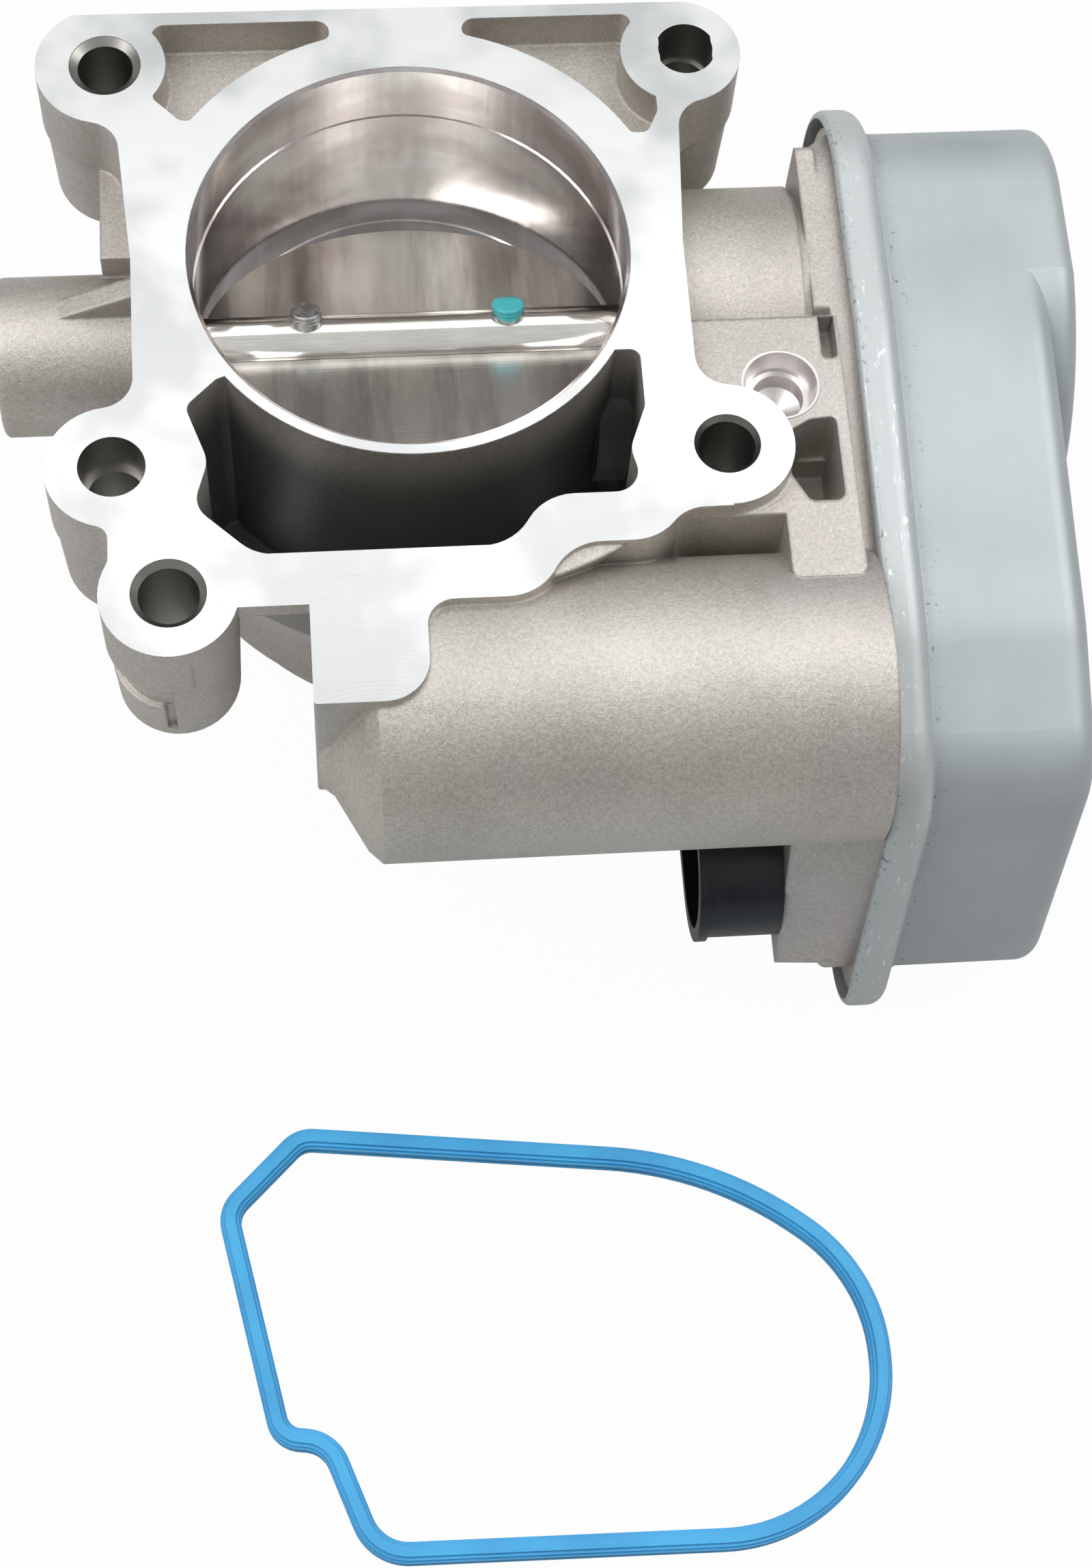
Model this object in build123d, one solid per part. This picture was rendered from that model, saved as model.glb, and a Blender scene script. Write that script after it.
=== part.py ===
from build123d import *
from math import asin, atan2, ceil, cos, degrees, floor, hypot, pi, radians, sin, sqrt, tan
import os

# Motor-driven throttle body. Millimetres.
# Origin: centre of the throttle bore on the machined manifold face.
# +Z leaves that face, +X runs along the throttle shaft towards the gear cover.
# Positions across the shaft are (y, z) pairs.

# ---- air passage ----
BORE_R = 32.5
PASSAGE_END_Z = -85.0
BORE_CHAMFER = 0.6
BAND_DEPTH = 0.2
BANDS_Z = ((-9.0, -12.0), (-38.0, -41.0))
COLLAR_R = 39.8
COLLAR_END_Z = -72.0
SPIGOT_WALL = 2.5
CLIP_GROOVE_DEPTH = 0.8
CLIP_GROOVE_Z = (-83.8, -81.6)

# ---- manifold face ----
BOLT_HALF_X = 44.46
BOLT_HALF_Y = 34.87
NECK_LEFT_X = -(BOLT_HALF_X - 3.26)
NECK_RIGHT_X = BOLT_HALF_X - 3.46
NECK_DEPTH = 52.0
FACE_TOP_LEFT_Y = 44.3
FACE_TOP_RIGHT_Y = 43.7
FLANGE_DEPTH = 12.0
RIM_DEPTH = 3.0
TAB_DEPTH = 30.0
STEP_DEPTH = 22.0
LOWER_EDGE_Y = -58.2
STEP_EDGE_Y = -50.0
RIGHT_EDGE_Y = -45.1
TAB_LEFT_X = -17.1
TAB_RIGHT_X = -0.6
TAB_EDGE_Y = -73.7
BOSS_DEPTH = 30.0
BOSS_DRAFT = 1.0
EXTRA_HOLE = (-(BOLT_HALF_X - 7.66), -55.5)
LOWER_LEFT_EDGE_X = -(BOLT_HALF_X + 0.74)
POCKET_DEPTH = 7.0
POCKET_ARC_R = 40.0
CAVITY_DEPTH = 44.0
CAVITY_ARC_R = 34.6
CAVITY_SLOPE = 0.3
CAVITY_LOW_Y = -50.0
UNDERCUT_R = 58.0

# ---- holes in the face ----
BOLT_HOLE_R = 4.2
TOP_LEFT_MOUTH_R = 5.5
SLOT_HOLE_R = 4.6
SLOT_HOLE_FLATS = 8.1
SLOT_HOLE_DEPTH = 9.0
SEAT_R = 4.9
SEAT_DEPTH = 9.0
EXTRA_HOLE_R = 4.4
EXTRA_MOUTH_R = 5.45
MOUTH_CHAMFER_DEPTH = 1.0
SIDE_HOLE = (53.7, -23.6)
SIDE_BOSS_R = 7.2
SIDE_HOLE_R = 3.9
SIDE_MOUTH_R = (5.5, 4.7)
SIDE_MOUTH_DEPTH = 4.0
SIDE_HOLE_DEPTH = 7.3
BOSS_END_ROUND = 2.5
SCREW_ACCESS_R = 8.0

# ---- throttle shaft and plate ----
SHAFT_Z = -26.46
SHAFT_R = 5.0
SHAFT_LEFT_X = -57.6
SHAFT_RIGHT_X = 92.0
PLATE_R = 32.2
PLATE_T = 2.0
PLATE_TILT = 25.0
CLOSED_TURN = -20.0
OPEN_TURN = 65.0
SLOT_CLEARANCE = 0.05
SCREW_X = 15.7
SCREW_R = 2.5
SCREW_TIP = 1.9
THREAD_PITCH = 0.6
THREAD_DEPTH = 0.22
THREAD_GROOVES = 2
SCREW_HEAD_R = 4.0
SCREW_HEAD_T = 2.2
SCREW_FLAT = 4.2
RUNNING_FIT = 0.03

# ---- shaft bearings, seals and plug ----
LEFT_BARREL_R = 12.3
LEFT_BARREL_END_X = -62.9
NEEDLE_SEAT_R = 8.0
NEEDLE_CUP_T = 0.6
NEEDLE_X = (-57.0, -45.0)
NEEDLE_COUNT = 12
SEAL_LEFT_X = (-44.5, -41.0)
SEAL_RIGHT_X = (36.5, 40.5)
PLUG_X = (-61.9, -58.9)
PLUG_T = 1.2
BALL_SEAT_R = 11.0
BALL_X = (41.0, 47.0)
BALL_PITCH_R = 8.0
BALL_R = 1.75
BALL_COUNT = 9
RACE_GAP = 1.2

# ---- right barrel and return spring ----
RIGHT_BARREL_R = 22.4
RIGHT_BARREL_END_X = 59.4
SPRING_HOLLOW_R = 18.0
SPRING_R = 14.2
SPRING_WIRE_R = 1.0
SPRING_PITCH = 3.2
SPRING_TURNS = 5
SPRING_START_X = 49.2
SPRING_LEG_DEPTH = 2.5

# ---- gear case and cover ----
LIP_X = 66.0
PLATE_X = 67.2
RIM_END_X = 69.4
RIM_X = 63.0
RIM_INSET = 0.6
CASE_BACK_X = 58.5
CASE_FLOOR_X = 62.0
UPPER_FLOOR_X = 64.6
PLATE_FLOOR_X = 68.5
CASE_NECK_INSET = 2.6
UPPER_BACK_X = 60.6
UPPER_SPLIT_Y = -9.0
UPPER_EDGE_Y = 20.6
UPPER_SLOPE = 1.13
CASE_CHAMBER_INSET = 3.4
CASE_TOP_Z = -5.2
GEAR_TO_RIM = 7.2
CASE_BOTTOM_Z = -85.9
CASE_BACK_Y = 33.5
WEB_TOP_Z = -3.0
WEB_DEPTH = 25.0
WINDOW_DEPTH = 15.0
DIMPLE_DEPTH = 5.0
PAD_LEFT_X = 52.4
PAD_LOW_Y = -55.5
PAD_HIGH_Y = -12.0
MOTOR_END_X = 54.2
MOTOR_END_Z = CASE_BOTTOM_Z + 14.0
LUG_START_X = 61.0
LUG_R = 2.3
SEAL_T = 0.6
SEAL_INSET = (0.9, 3.0)
COVER_END_X = 97.4
COVER_WALL = 1.5
COVER_INSET = 1.8
CASE_CORNER_R = 10.0
COVER_LOW_R = 15.0
COVER_CORNER_R = 3.8
BEAD_OUT = 2.1
BEAD_END_X = 72.6
LIP_HOLLOW = 0.9
LIP_EDGE_ROUND = 1.1
BEAD_BLEND = 1.6
BEAD_ROUND = 3.0
DOME_END_X = 102.2
DOME_AXIS = (7.5, (CASE_TOP_Z + CASE_BOTTOM_Z) / 2 + 4.55)
DOME_R = (CASE_TOP_Z - CASE_BOTTOM_Z) / 2 - 4.95
DOME_CORNER_R = 3.2

# ---- gears ----
MODULE = 1.0
PRESSURE_ANGLE = radians(25)
BACKLASH = 0.16
PINION_TEETH = 12
IDLER_LARGE_TEETH = 44
IDLER_SMALL_TEETH = 16
TRANSFER_TEETH = 32
SECTOR_TEETH = 54
SECTOR_MARGIN = 6.0
SECTOR_X = (70.0, 76.0)
IDLER_LARGE_X = (79.0, 84.0)
PINION_X = (78.0, 85.0)
GEAR_PIN_R = 2.5
SECTOR_HUB_R = 9.0
SECTOR_HUB_START_X = 48.0
NUT_X = (76.0, 80.0)
NUT_FLATS = 13.0

# ---- motor ----
MOTOR_Y = -64.0
MOTOR_Z = -31.6
MOTOR_BORE_R = 16.0
MOTOR_SLEEVE = 0.1
MOTOR_CAN_T = 1.4
MOTOR_START_X = -4.8
MOTOR_FLOOR_X = -6.0
MOTOR_SHAFT_R = 2.0
MOTOR_BARREL_Y = -66.0
MOTOR_BARREL_Z = -22.0
MOTOR_BARREL_R = 21.6
MOTOR_BARREL_START_X = -8.0
MOTOR_LOBE_R = 17.6
ROTOR_R = 11.6
ROTOR_X = (8.0, 42.0)
MAGNET_R = (12.1, 14.5)
COMMUTATOR_R = 5.0
COMMUTATOR_X = (48.5, 55.0)
END_CAP_X = (57.0, 62.0)
MOTOR_PLATE_T = 2.0
MOTOR_SCREW_R = 2.0
MOTOR_SCREW_REACH = 20.5
MOTOR_SCREW_ANGLES = (30.0, 235.0)

# ---- connector ----
CONNECTOR_MOUTH_X = 41.0
CONNECTOR_Z = CASE_BOTTOM_Z + 24.5
CONNECTOR_Y = -70.6
CONNECTOR_WIDTH = 34.0
CONNECTOR_HEIGHT = 23.0
CONNECTOR_WALL = 1.6
CONNECTOR_NECK_INSET = 3.0
CONNECTOR_END_X = CASE_FLOOR_X
TERMINAL_COUNT = 6
TERMINAL_PITCH = 3.6

# ---- loose manifold gasket ----
FLOOR_Z = -88.0
GASKET_LINE = (
    (-22.6, -110.2, 4.5), (43.6, -118.1, 58.0), (66.4, -137.5, 26.4), (66.4, -177.6, 26.4),
    (-13.6, -176.1, 7.5), (-19.9, -158.6, 6.0), (-27.3, -157.6, 4.0), (-34.4, -121.6, 5.0),
)
GASKET_LAYERS = ((0.0, 1.25), (0.8, 1.62), (1.6, 1.25), (2.4, 1.62), (3.2, 1.3), (3.8, 0.8), (4.4, 0.0))

SHAFT_AXIS = (0.0, SHAFT_Z)
MOTOR_AXIS = (MOTOR_Y, MOTOR_Z)
BARREL_AXIS = (MOTOR_BARREL_Y, MOTOR_BARREL_Z)
BOSSES = (
    ((-BOLT_HALF_X, BOLT_HALF_Y), 10.6),
    ((BOLT_HALF_X - 0.9, BOLT_HALF_Y - 0.5), 9.35),
    ((BOLT_HALF_X, -BOLT_HALF_Y), 9.9),
    ((-BOLT_HALF_X, -BOLT_HALF_Y), 9.8),
    (EXTRA_HOLE, 9.95),
)


# ---------------------------------------------------------------- helpers

def span_box(x_span, y_span, z_span):
    """Box between two corners, given as (low, high) on each axis."""
    middle = [(low + high) / 2 for low, high in (x_span, y_span, z_span)]
    size = [high - low for low, high in (x_span, y_span, z_span)]
    return Pos(*middle) * Box(*size)


def span_face(u_span, v_span):
    """Rectangle between two corners, given as (low, high) on each axis."""
    place = Pos((u_span[0] + u_span[1]) / 2, (v_span[0] + v_span[1]) / 2)
    return place * Rectangle(u_span[1] - u_span[0], v_span[1] - v_span[0])


def side_plane(x):
    """Plane across the shaft at x; its own axes run along +Y and +Z."""
    return Plane(origin=(x, 0, 0), x_dir=(0, 1, 0), z_dir=(1, 0, 0))


def along_x(face, x_span):
    """Extrude a (y, z) face between two x stations."""
    return extrude(side_plane(x_span[0]) * face, amount=x_span[1] - x_span[0])


def rod(radius, x_span, axis=SHAFT_AXIS):
    """Cylinder along X."""
    return along_x(Pos(*axis) * Circle(radius), x_span)


def tube(outer, inner, x_span, axis=SHAFT_AXIS):
    """Hollow cylinder along X."""
    return rod(outer, x_span, axis) - rod(inner, x_span, axis)


def cone_x(r_start, r_end, x_span, axis=SHAFT_AXIS):
    """Truncated cone along X."""
    start = side_plane(x_span[0]) * (Pos(*axis) * Circle(r_start))
    end = side_plane(x_span[1]) * (Pos(*axis) * Circle(r_end))
    return loft([start, end])


def post(centre, radius, z_span):
    """Cylinder along Z."""
    middle = (z_span[0] + z_span[1]) / 2
    return Pos(centre[0], centre[1], middle) * Cylinder(radius, z_span[1] - z_span[0])


def tube_z(centre, outer, inner, z_span):
    """Hollow cylinder along Z."""
    return post(centre, outer, z_span) - post(centre, inner, z_span)


def cone_z(centre, r_high, r_low, z_span):
    """Truncated cone along Z between (low, high) heights."""
    middle = (z_span[0] + z_span[1]) / 2
    return Pos(centre[0], centre[1], middle) * Cone(r_low, r_high, z_span[1] - z_span[0])


def rounded(corners):
    """Closed outline from (u, v, radius) corners, each with its own rounding."""
    edges = []
    ends = []
    count = len(corners)
    for index, (u, v, radius) in enumerate(corners):
        before = corners[index - 1]
        after = corners[(index + 1) % count]
        here = Vector(u, v)
        back = (Vector(before[0], before[1]) - here).normalized()
        ahead = (Vector(after[0], after[1]) - here).normalized()
        if radius == 0:
            ends.append((here, here))
            continue
        half = radians(back.get_angle(ahead)) / 2
        reach = radius / tan(half)
        middle = here + (back + ahead).normalized() * (radius / sin(half) - radius)
        start = here + back * reach
        stop = here + ahead * reach
        edges.append(ThreePointArc(start, middle, stop))
        ends.append((start, stop))
    for index in range(count):
        edges.append(Line(ends[index - 1][1], ends[index][0]))
    return make_face(edges)


def soften(sketch, spots):
    """Round the corner of a sketch nearest to each (u, v, radius) spot."""
    for u, v, radius in spots:
        corner = sketch.vertices().sort_by_distance((u, v, 0))[0]
        sketch = fillet(corner, radius)
    return sketch


def polar(axis, distance, angle):
    """Point at a distance and an angle in degrees from an axis."""
    return (axis[0] + distance * cos(radians(angle)), axis[1] + distance * sin(radians(angle)))


def stadium(width, height, inset):
    """Slot shape for the connector, centred on the connector, made smaller by an inset."""
    shape = SlotOverall(width - 2 * inset, height - 2 * inset)
    return Pos(CONNECTOR_Y, CONNECTOR_Z) * shape


# ---------------------------------------------------------------- housing

def boss_corner(index, x, side):
    """Corner where the straight edge at x meets the circle of a boss, above or below it."""
    centre, radius = BOSSES[index]
    return (x, centre[1] + side * sqrt(radius ** 2 - (x - centre[0]) ** 2))


def face_outline():
    """Outline of the machined manifold face."""
    plate = rounded([
        (-BOLT_HALF_X, FACE_TOP_LEFT_Y, 0), (NECK_LEFT_X, 0, 0), (NECK_LEFT_X, -30, 0),
        (LOWER_LEFT_EDGE_X, -40, 0), (LOWER_LEFT_EDGE_X, -52, 0), (-34, LOWER_EDGE_Y, 0),
        (TAB_LEFT_X, LOWER_EDGE_Y, 0), (TAB_LEFT_X, TAB_EDGE_Y, 0.5), (TAB_RIGHT_X, TAB_EDGE_Y, 6.5),
        (TAB_RIGHT_X, LOWER_EDGE_Y, 4.0), (15.5, LOWER_EDGE_Y, 8.0), (20.5, STEP_EDGE_Y, 8.0),
        (33.2, STEP_EDGE_Y, 8.0), (37.5, RIGHT_EDGE_Y, 6.0), (BOLT_HALF_X, RIGHT_EDGE_Y + 0.1, 0),
        (NECK_RIGHT_X, -30, 0), (NECK_RIGHT_X, 0, 0), (BOSSES[1][0][0], FACE_TOP_RIGHT_Y, 0),
    ])
    neck_top = BOLT_HALF_Y + 7
    neck_low = -(BOLT_HALF_Y - 9)
    middle = (neck_top + neck_low) / 2
    outline = plate + Pos(0, middle) * Rectangle(2 * NECK_RIGHT_X, neck_top - neck_low)
    for centre, radius in BOSSES:
        outline += Pos(*centre) * Circle(radius)
    outline &= span_face((-UNDERCUT_R, UNDERCUT_R), (-2 * UNDERCUT_R, FACE_TOP_LEFT_Y))
    return soften(outline, [
        (*boss_corner(0, NECK_LEFT_X, -1), 5.0), (*boss_corner(1, NECK_RIGHT_X, -1), 5.0),
        (*boss_corner(3, NECK_LEFT_X, 1), 5.0), (*boss_corner(2, NECK_RIGHT_X, 1), 5.0),
        (*boss_corner(3, LOWER_LEFT_EDGE_X, -1), 2.2), (*boss_corner(4, LOWER_LEFT_EDGE_X, 1), 2.2),
    ])


def left_pocket():
    """Upper left recess in the face, between the bolt boss and the bore."""
    shape = rounded([
        (-37.3, 42.0, 2.0), (-37.3, 28.4, 1.2), (-33.4, 24.3, 1.5),
        (-26, 24.0, 0), (-10.2, 30, 0), (-10.2, 42.0, 2.0),
    ])
    shape -= Circle(POCKET_ARC_R)
    shape -= Pos(*BOSSES[0][0]) * Circle(9.2)
    return soften(shape, [(-10.2, 38.7, 1.2), (-31.9, 24.2, 1.0)])


def right_pocket():
    """Upper right recess in the face."""
    shape = rounded([
        (10.2, 41.7, 2.0), (10.2, 30, 0), (30, 19.7, 0), (37.4, 19.7, 1.5),
        (39.2, 23.6, 1.5), (39.2, 31, 0), (36.3, 34, 0), (36.3, 41.7, 1.5),
    ])
    shape -= Circle(POCKET_ARC_R)
    shape -= Pos(*BOSSES[1][0]) * Circle(9.2)
    return soften(shape, [(10.2, 38.7, 1.2), (34.8, 19.7, 1.0)])


def cavity_outline():
    """Mouth of the deep cavity between the bore and the motor."""
    shape = rounded([
        (-29.2, -21.0, 1.2), (-33.8, -25.4, 2.0), (-30.7, -34.5, 5.0), (-33.0, -41.8, 4.0),
        (-24.4, CAVITY_LOW_Y, 7.0), (12.2, CAVITY_LOW_Y, 8.0), (17.2, -42.1, 8.0), (32.0, -42.1, 3.5),
        (30.3, -35.0, 4.0), (33.0, -28.0, 3.0), (33.0, -18.4, 1.6), (28.6, -18.4, 0), (0, -10, 0),
    ])
    return shape - Circle(CAVITY_ARC_R)


def cavity():
    """Cavity whose front wall leans in over the motor."""
    prism = extrude(cavity_outline(), amount=-CAVITY_DEPTH)
    lean = CAVITY_SLOPE * CAVITY_DEPTH
    low_y = CAVITY_LOW_Y - 0.2
    wedge = rounded([(low_y, 1, 0), (0, 1, 0), (0, -CAVITY_DEPTH, 0), (low_y + lean, -CAVITY_DEPTH, 0)])
    return prism & along_x(wedge, (-BOLT_HALF_X, BOLT_HALF_X))


def case_outline(inset=0.0, corner_r=CASE_CORNER_R):
    """Outline of the gear case rim, from the shaft end down to the motor end, or inside it."""
    shape = rounded([
        (CASE_BACK_Y, CASE_TOP_Z, 20.0), (-13.0, CASE_TOP_Z, 60.0), (-60.0, -11.0, 25.0),
        (-83.9, -18.9, 15.0), (-94.8, CASE_BOTTOM_Z, corner_r), (-6.0, CASE_BOTTOM_Z, 14.0),
        (24.0, -62.0, 12.0), (CASE_BACK_Y, -48.0, 10.0),
    ])
    if inset == 0:
        return shape
    return offset(shape, amount=-inset)


def cover_outline(inset=0.0):
    """Outline of the side of the cover, with a wider lower corner than the rim."""
    return case_outline(COVER_INSET + inset, COVER_LOW_R)


def motor_end_block():
    """Box-like lower end of the case, over the connector, with a small lug under it."""
    outer = side_plane(MOTOR_END_X) * rounded([
        (-76.1, -26, 0), (-89.8, MOTOR_END_Z, 0.8), (-52, MOTOR_END_Z, 6), (-42, -60, 4), (-42, -26, 0),
    ])
    inner = side_plane(PLATE_X + 0.1) * rounded([
        (-85.2, -26, 0), (-90.4, MOTOR_END_Z, 0.8), (-52, MOTOR_END_Z, 6), (-42, -60, 4), (-42, -26, 0),
    ])
    lug = rod(LUG_R, (LUG_START_X, PLATE_X + 0.1), (-88.2, MOTOR_END_Z + 0.2))
    lug = fillet(lug.edges().group_by(Axis.X)[0], 0.7 * LUG_R)
    return loft([outer, inner]) + lug


def neck():
    """Body around the bore, under the face."""
    left_barrel = rod(LEFT_BARREL_R, (LEFT_BARREL_END_X, -BORE_R))
    left_barrel = fillet(left_barrel.edges().group_by(Axis.X)[0], 1.0)
    body = span_box((NECK_LEFT_X, NECK_RIGHT_X), (-26, FACE_TOP_LEFT_Y - 0.5), (-NECK_DEPTH, 0))
    skirt = Pos(0, 0, -30) * Cone(COLLAR_R, UNDERCUT_R, 60)
    body += skirt & span_box((NECK_LEFT_X, NECK_RIGHT_X), (-70, 0), (-60, -1))
    body += post((0, 0), COLLAR_R, (COLLAR_END_Z, -20))
    body += post((0, 0), BORE_R + SPIGOT_WALL, (PASSAGE_END_Z, COLLAR_END_Z))
    spigot_r = BORE_R + SPIGOT_WALL
    body -= tube_z((0, 0), spigot_r + 1, spigot_r - CLIP_GROOVE_DEPTH, CLIP_GROOVE_Z)
    body = screw_access(body)
    rib = rounded([(NECK_LEFT_X + 1, -8, 0), (NECK_LEFT_X + 1, -24, 0), (-54, -24, 0), (-54, -14.6, 0)])
    rib = extrude(Plane.XZ.offset(-2.5) * rib, amount=3.5)
    side_web = span_box((-46.5, NECK_LEFT_X + 1), (8, 27), (-BOSS_DEPTH, -12))
    return body + left_barrel + rib + side_web


def screw_access(body):
    """Clear the way of the four screws and their heads under the bosses."""
    for x in (-BOLT_HALF_X, BOLT_HALF_X):
        for y in (-BOLT_HALF_Y, BOLT_HALF_Y):
            body -= post((x, y), SCREW_ACCESS_R, (PASSAGE_END_Z, -BOSS_DEPTH))
    return body


def bosses():
    """Bolt bosses, drawn in slightly towards their lower ends."""
    solids = []
    for centre, radius in BOSSES:
        boss = cone_z(centre, radius, radius - BOSS_DRAFT, (-BOSS_DEPTH, 0))
        solids.append(fillet(boss.edges().group_by(Axis.Z)[0], BOSS_END_ROUND))
    recess = tube_z(BOSSES[4][0], 14, 8.1, (-19.5, -5))
    solids[4] -= recess & span_box((-60, -37.6), (-80, -40), (-40, 0))
    solids[4] -= span_box((-38.6, -37.2), (-70, -63.6), (-26, -5))
    recess = tube_z(BOSSES[0][0], 14, 8.9, (-18, -5))
    solids[0] -= recess & span_box((-46, -30), (0, 29), (-40, 0))
    clip = span_box((-100, 100), (-100, FACE_TOP_LEFT_Y), (-100, 0))
    return [solid & clip for solid in solids]


def tab_block():
    """Square nose of the face that stands over the end of the motor."""
    shape = rounded([
        (TAB_LEFT_X, -50, 0), (TAB_LEFT_X, TAB_EDGE_Y, 0.5), (TAB_RIGHT_X, TAB_EDGE_Y, 6.5),
        (TAB_RIGHT_X, -50, 0),
    ])
    return extrude(shape, amount=-TAB_DEPTH)


def step_block():
    """Wall under the stepped lower edge of the face, down to the motor barrel."""
    strip = face_outline() & span_face((0, BOLT_HALF_X), (-65, -35))
    return extrude(strip, amount=-STEP_DEPTH)


def motor_barrel():
    """Barrel around the motor, closed by a cone at its free end."""
    start = MOTOR_BARREL_START_X
    barrel = rod(MOTOR_BARREL_R, (start, LIP_X - 0.5), BARREL_AXIS)
    end = rod(MOTOR_BARREL_R - 1.0, (RIM_X, PLATE_X + 0.1), BARREL_AXIS)
    barrel += end & along_x(case_outline(RIM_INSET), (RIM_X, PLATE_X + 0.1))
    lobe = rod(MOTOR_LOBE_R, (start, RIM_X), MOTOR_AXIS)
    nose = cone_x(11.3, MOTOR_BARREL_R - 2.0, (start - 6.7, start - 2.1), BARREL_AXIS)
    shoulder = cone_x(MOTOR_BARREL_R - 2.0, MOTOR_BARREL_R, (start - 2.1, start), BARREL_AXIS)
    tip = cone_x(9.5, 11.3, (start - 9, start - 6.7), BARREL_AXIS)
    lobe_nose = cone_x(8.0, MOTOR_LOBE_R, (start - 6, start), MOTOR_AXIS)
    return barrel + lobe + nose + shoulder + tip + lobe_nose


def case_neck():
    """Part of the case between its back and the rim plate; shorter than the plate at both ends."""
    body = along_x(case_outline(CASE_NECK_INSET), (CASE_BACK_X, PLATE_X + 0.1))
    body -= span_box((CASE_BACK_X - 1, UPPER_BACK_X), (UPPER_SPLIT_Y, CASE_BACK_Y), (-30, 0))
    strip = along_x(case_outline(RIM_INSET), (RIM_X, PLATE_X + 0.1))
    body += strip & span_box((RIM_X, PLATE_X + 0.1), (MOTOR_BARREL_Y, CASE_BACK_Y), (CASE_BOTTOM_Z, 0))
    body -= span_box((CASE_BACK_X - 1, PLATE_X), (-100, CASE_BACK_Y), (CASE_BOTTOM_Z - 1, MOTOR_END_Z))
    body -= span_box((CASE_BACK_X - 1, PLATE_X), (-100, MOTOR_Y), (CASE_BOTTOM_Z, 0))
    return body - upper_end_wedge()


def upper_end_wedge():
    """Space past the sloping upper end of the case."""
    run = PLATE_X - UPPER_BACK_X - 2
    profile = rounded([
        (CASE_BACK_X - 1, UPPER_EDGE_Y, 0), (PLATE_X - run, UPPER_EDGE_Y, 0),
        (PLATE_X, UPPER_EDGE_Y + UPPER_SLOPE * run, 0), (PLATE_X, CASE_BACK_Y + 1, 0),
        (CASE_BACK_X - 1, CASE_BACK_Y + 1, 0),
    ])
    return extrude(profile, amount=CASE_BOTTOM_Z)


def shaft_end_block():
    """Square block at the shaft end of the case, joined to the barrel by a narrower neck."""
    top_z = CASE_TOP_Z - RIM_INSET
    block = span_box((UPPER_BACK_X, RIM_X + 0.5), (UPPER_SPLIT_Y, UPPER_EDGE_Y), (-40, top_z))
    block = fillet(block.edges().filter_by(Axis.X).group_by(Axis.Z)[-1], 1.2)
    barrel = rod(RIGHT_BARREL_R, (28, RIGHT_BARREL_END_X))
    return block + barrel + rod(RIGHT_BARREL_R - 1.6, (RIGHT_BARREL_END_X - 2, UPPER_BACK_X + 0.1))


def web():
    """Two flat pads beside the face, with the boss of the blind side hole."""
    end_x = RIM_X + 0.3
    body = span_box((NECK_RIGHT_X - 2, end_x), (RIGHT_EDGE_Y, PAD_HIGH_Y), (-WEB_DEPTH, WEB_TOP_Z))
    body += span_box((PAD_LEFT_X, end_x), (PAD_LOW_Y, RIGHT_EDGE_Y + 1), (-WEB_DEPTH, WEB_TOP_Z))
    body = fillet(body.edges().filter_by(Axis.Z).group_by(Axis.Y)[0], 1.5)
    return body + post(SIDE_HOLE, SIDE_BOSS_R, (-WEB_DEPTH, WEB_TOP_Z))


def case_body():
    """Gear case with its rim plate, web, shaft-end block and motor-end block."""
    plate = along_x(case_outline(RIM_INSET), (PLATE_X, RIM_END_X))
    return case_neck() + plate + shaft_end_block() + motor_end_block() + web()


def case_chamber():
    """Gear chamber; its floor steps towards the cover at both ends."""
    chamber = along_x(case_outline(CASE_CHAMBER_INSET), (CASE_FLOOR_X, RIM_END_X + 1))
    z_span = (CASE_BOTTOM_Z, 0)
    chamber -= span_box((CASE_BACK_X, UPPER_FLOOR_X), (UPPER_SPLIT_Y, CASE_BACK_Y), z_span)
    chamber -= span_box((CASE_BACK_X, PLATE_FLOOR_X), (UPPER_EDGE_Y - 1.8, CASE_BACK_Y), z_span)
    end_z = (CASE_BOTTOM_Z, MOTOR_END_Z + 2)
    return chamber - span_box((CASE_BACK_X, PLATE_FLOOR_X), (-100, CASE_BACK_Y), end_z)


def case_cuts():
    """Chamber, dimple, window and blind side hole of the gear case."""
    dimple = span_box((60.4, 62.8), (-19.3, PAD_HIGH_Y - 0.1), (WEB_TOP_Z - DIMPLE_DEPTH, WEB_TOP_Z + 1))
    dimple = fillet(dimple.edges().filter_by(Axis.Z).group_by(Axis.Y)[0], 0.8)
    window = rounded([
        (53.8, -38.6, 1.0), (56.2, -43.2, 1.5), (61.4, -43.2, 1.5), (61.4, -29.2, 1.0), (57.4, -29.6, 1.0),
        (54.6, -31.2, 0.8),
    ])
    window = Pos(0, 0, WEB_TOP_Z + 1) * extrude(window, amount=-WINDOW_DEPTH - WEB_TOP_Z - 1)
    window += span_box((56.0, 61.4), (-36.5, -30.0), (-WINDOW_DEPTH - 5, -WINDOW_DEPTH + 1))
    return [case_chamber(), dimple, window, side_hole()]


def side_hole():
    """Stepped blind hole in the web with a cast mouth and a drill point."""
    step_z = WEB_TOP_Z - SIDE_MOUTH_DEPTH
    end_z = WEB_TOP_Z - SIDE_HOLE_DEPTH
    point = SIDE_HOLE_R / tan(radians(59))
    cut = cone_z(SIDE_HOLE, SIDE_MOUTH_R[0], SIDE_MOUTH_R[1], (step_z, WEB_TOP_Z))
    cut += post(SIDE_HOLE, SIDE_HOLE_R, (end_z, step_z + 0.1))
    return cut + cone_z(SIDE_HOLE, SIDE_HOLE_R, 0.01, (end_z - point, end_z))


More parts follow.
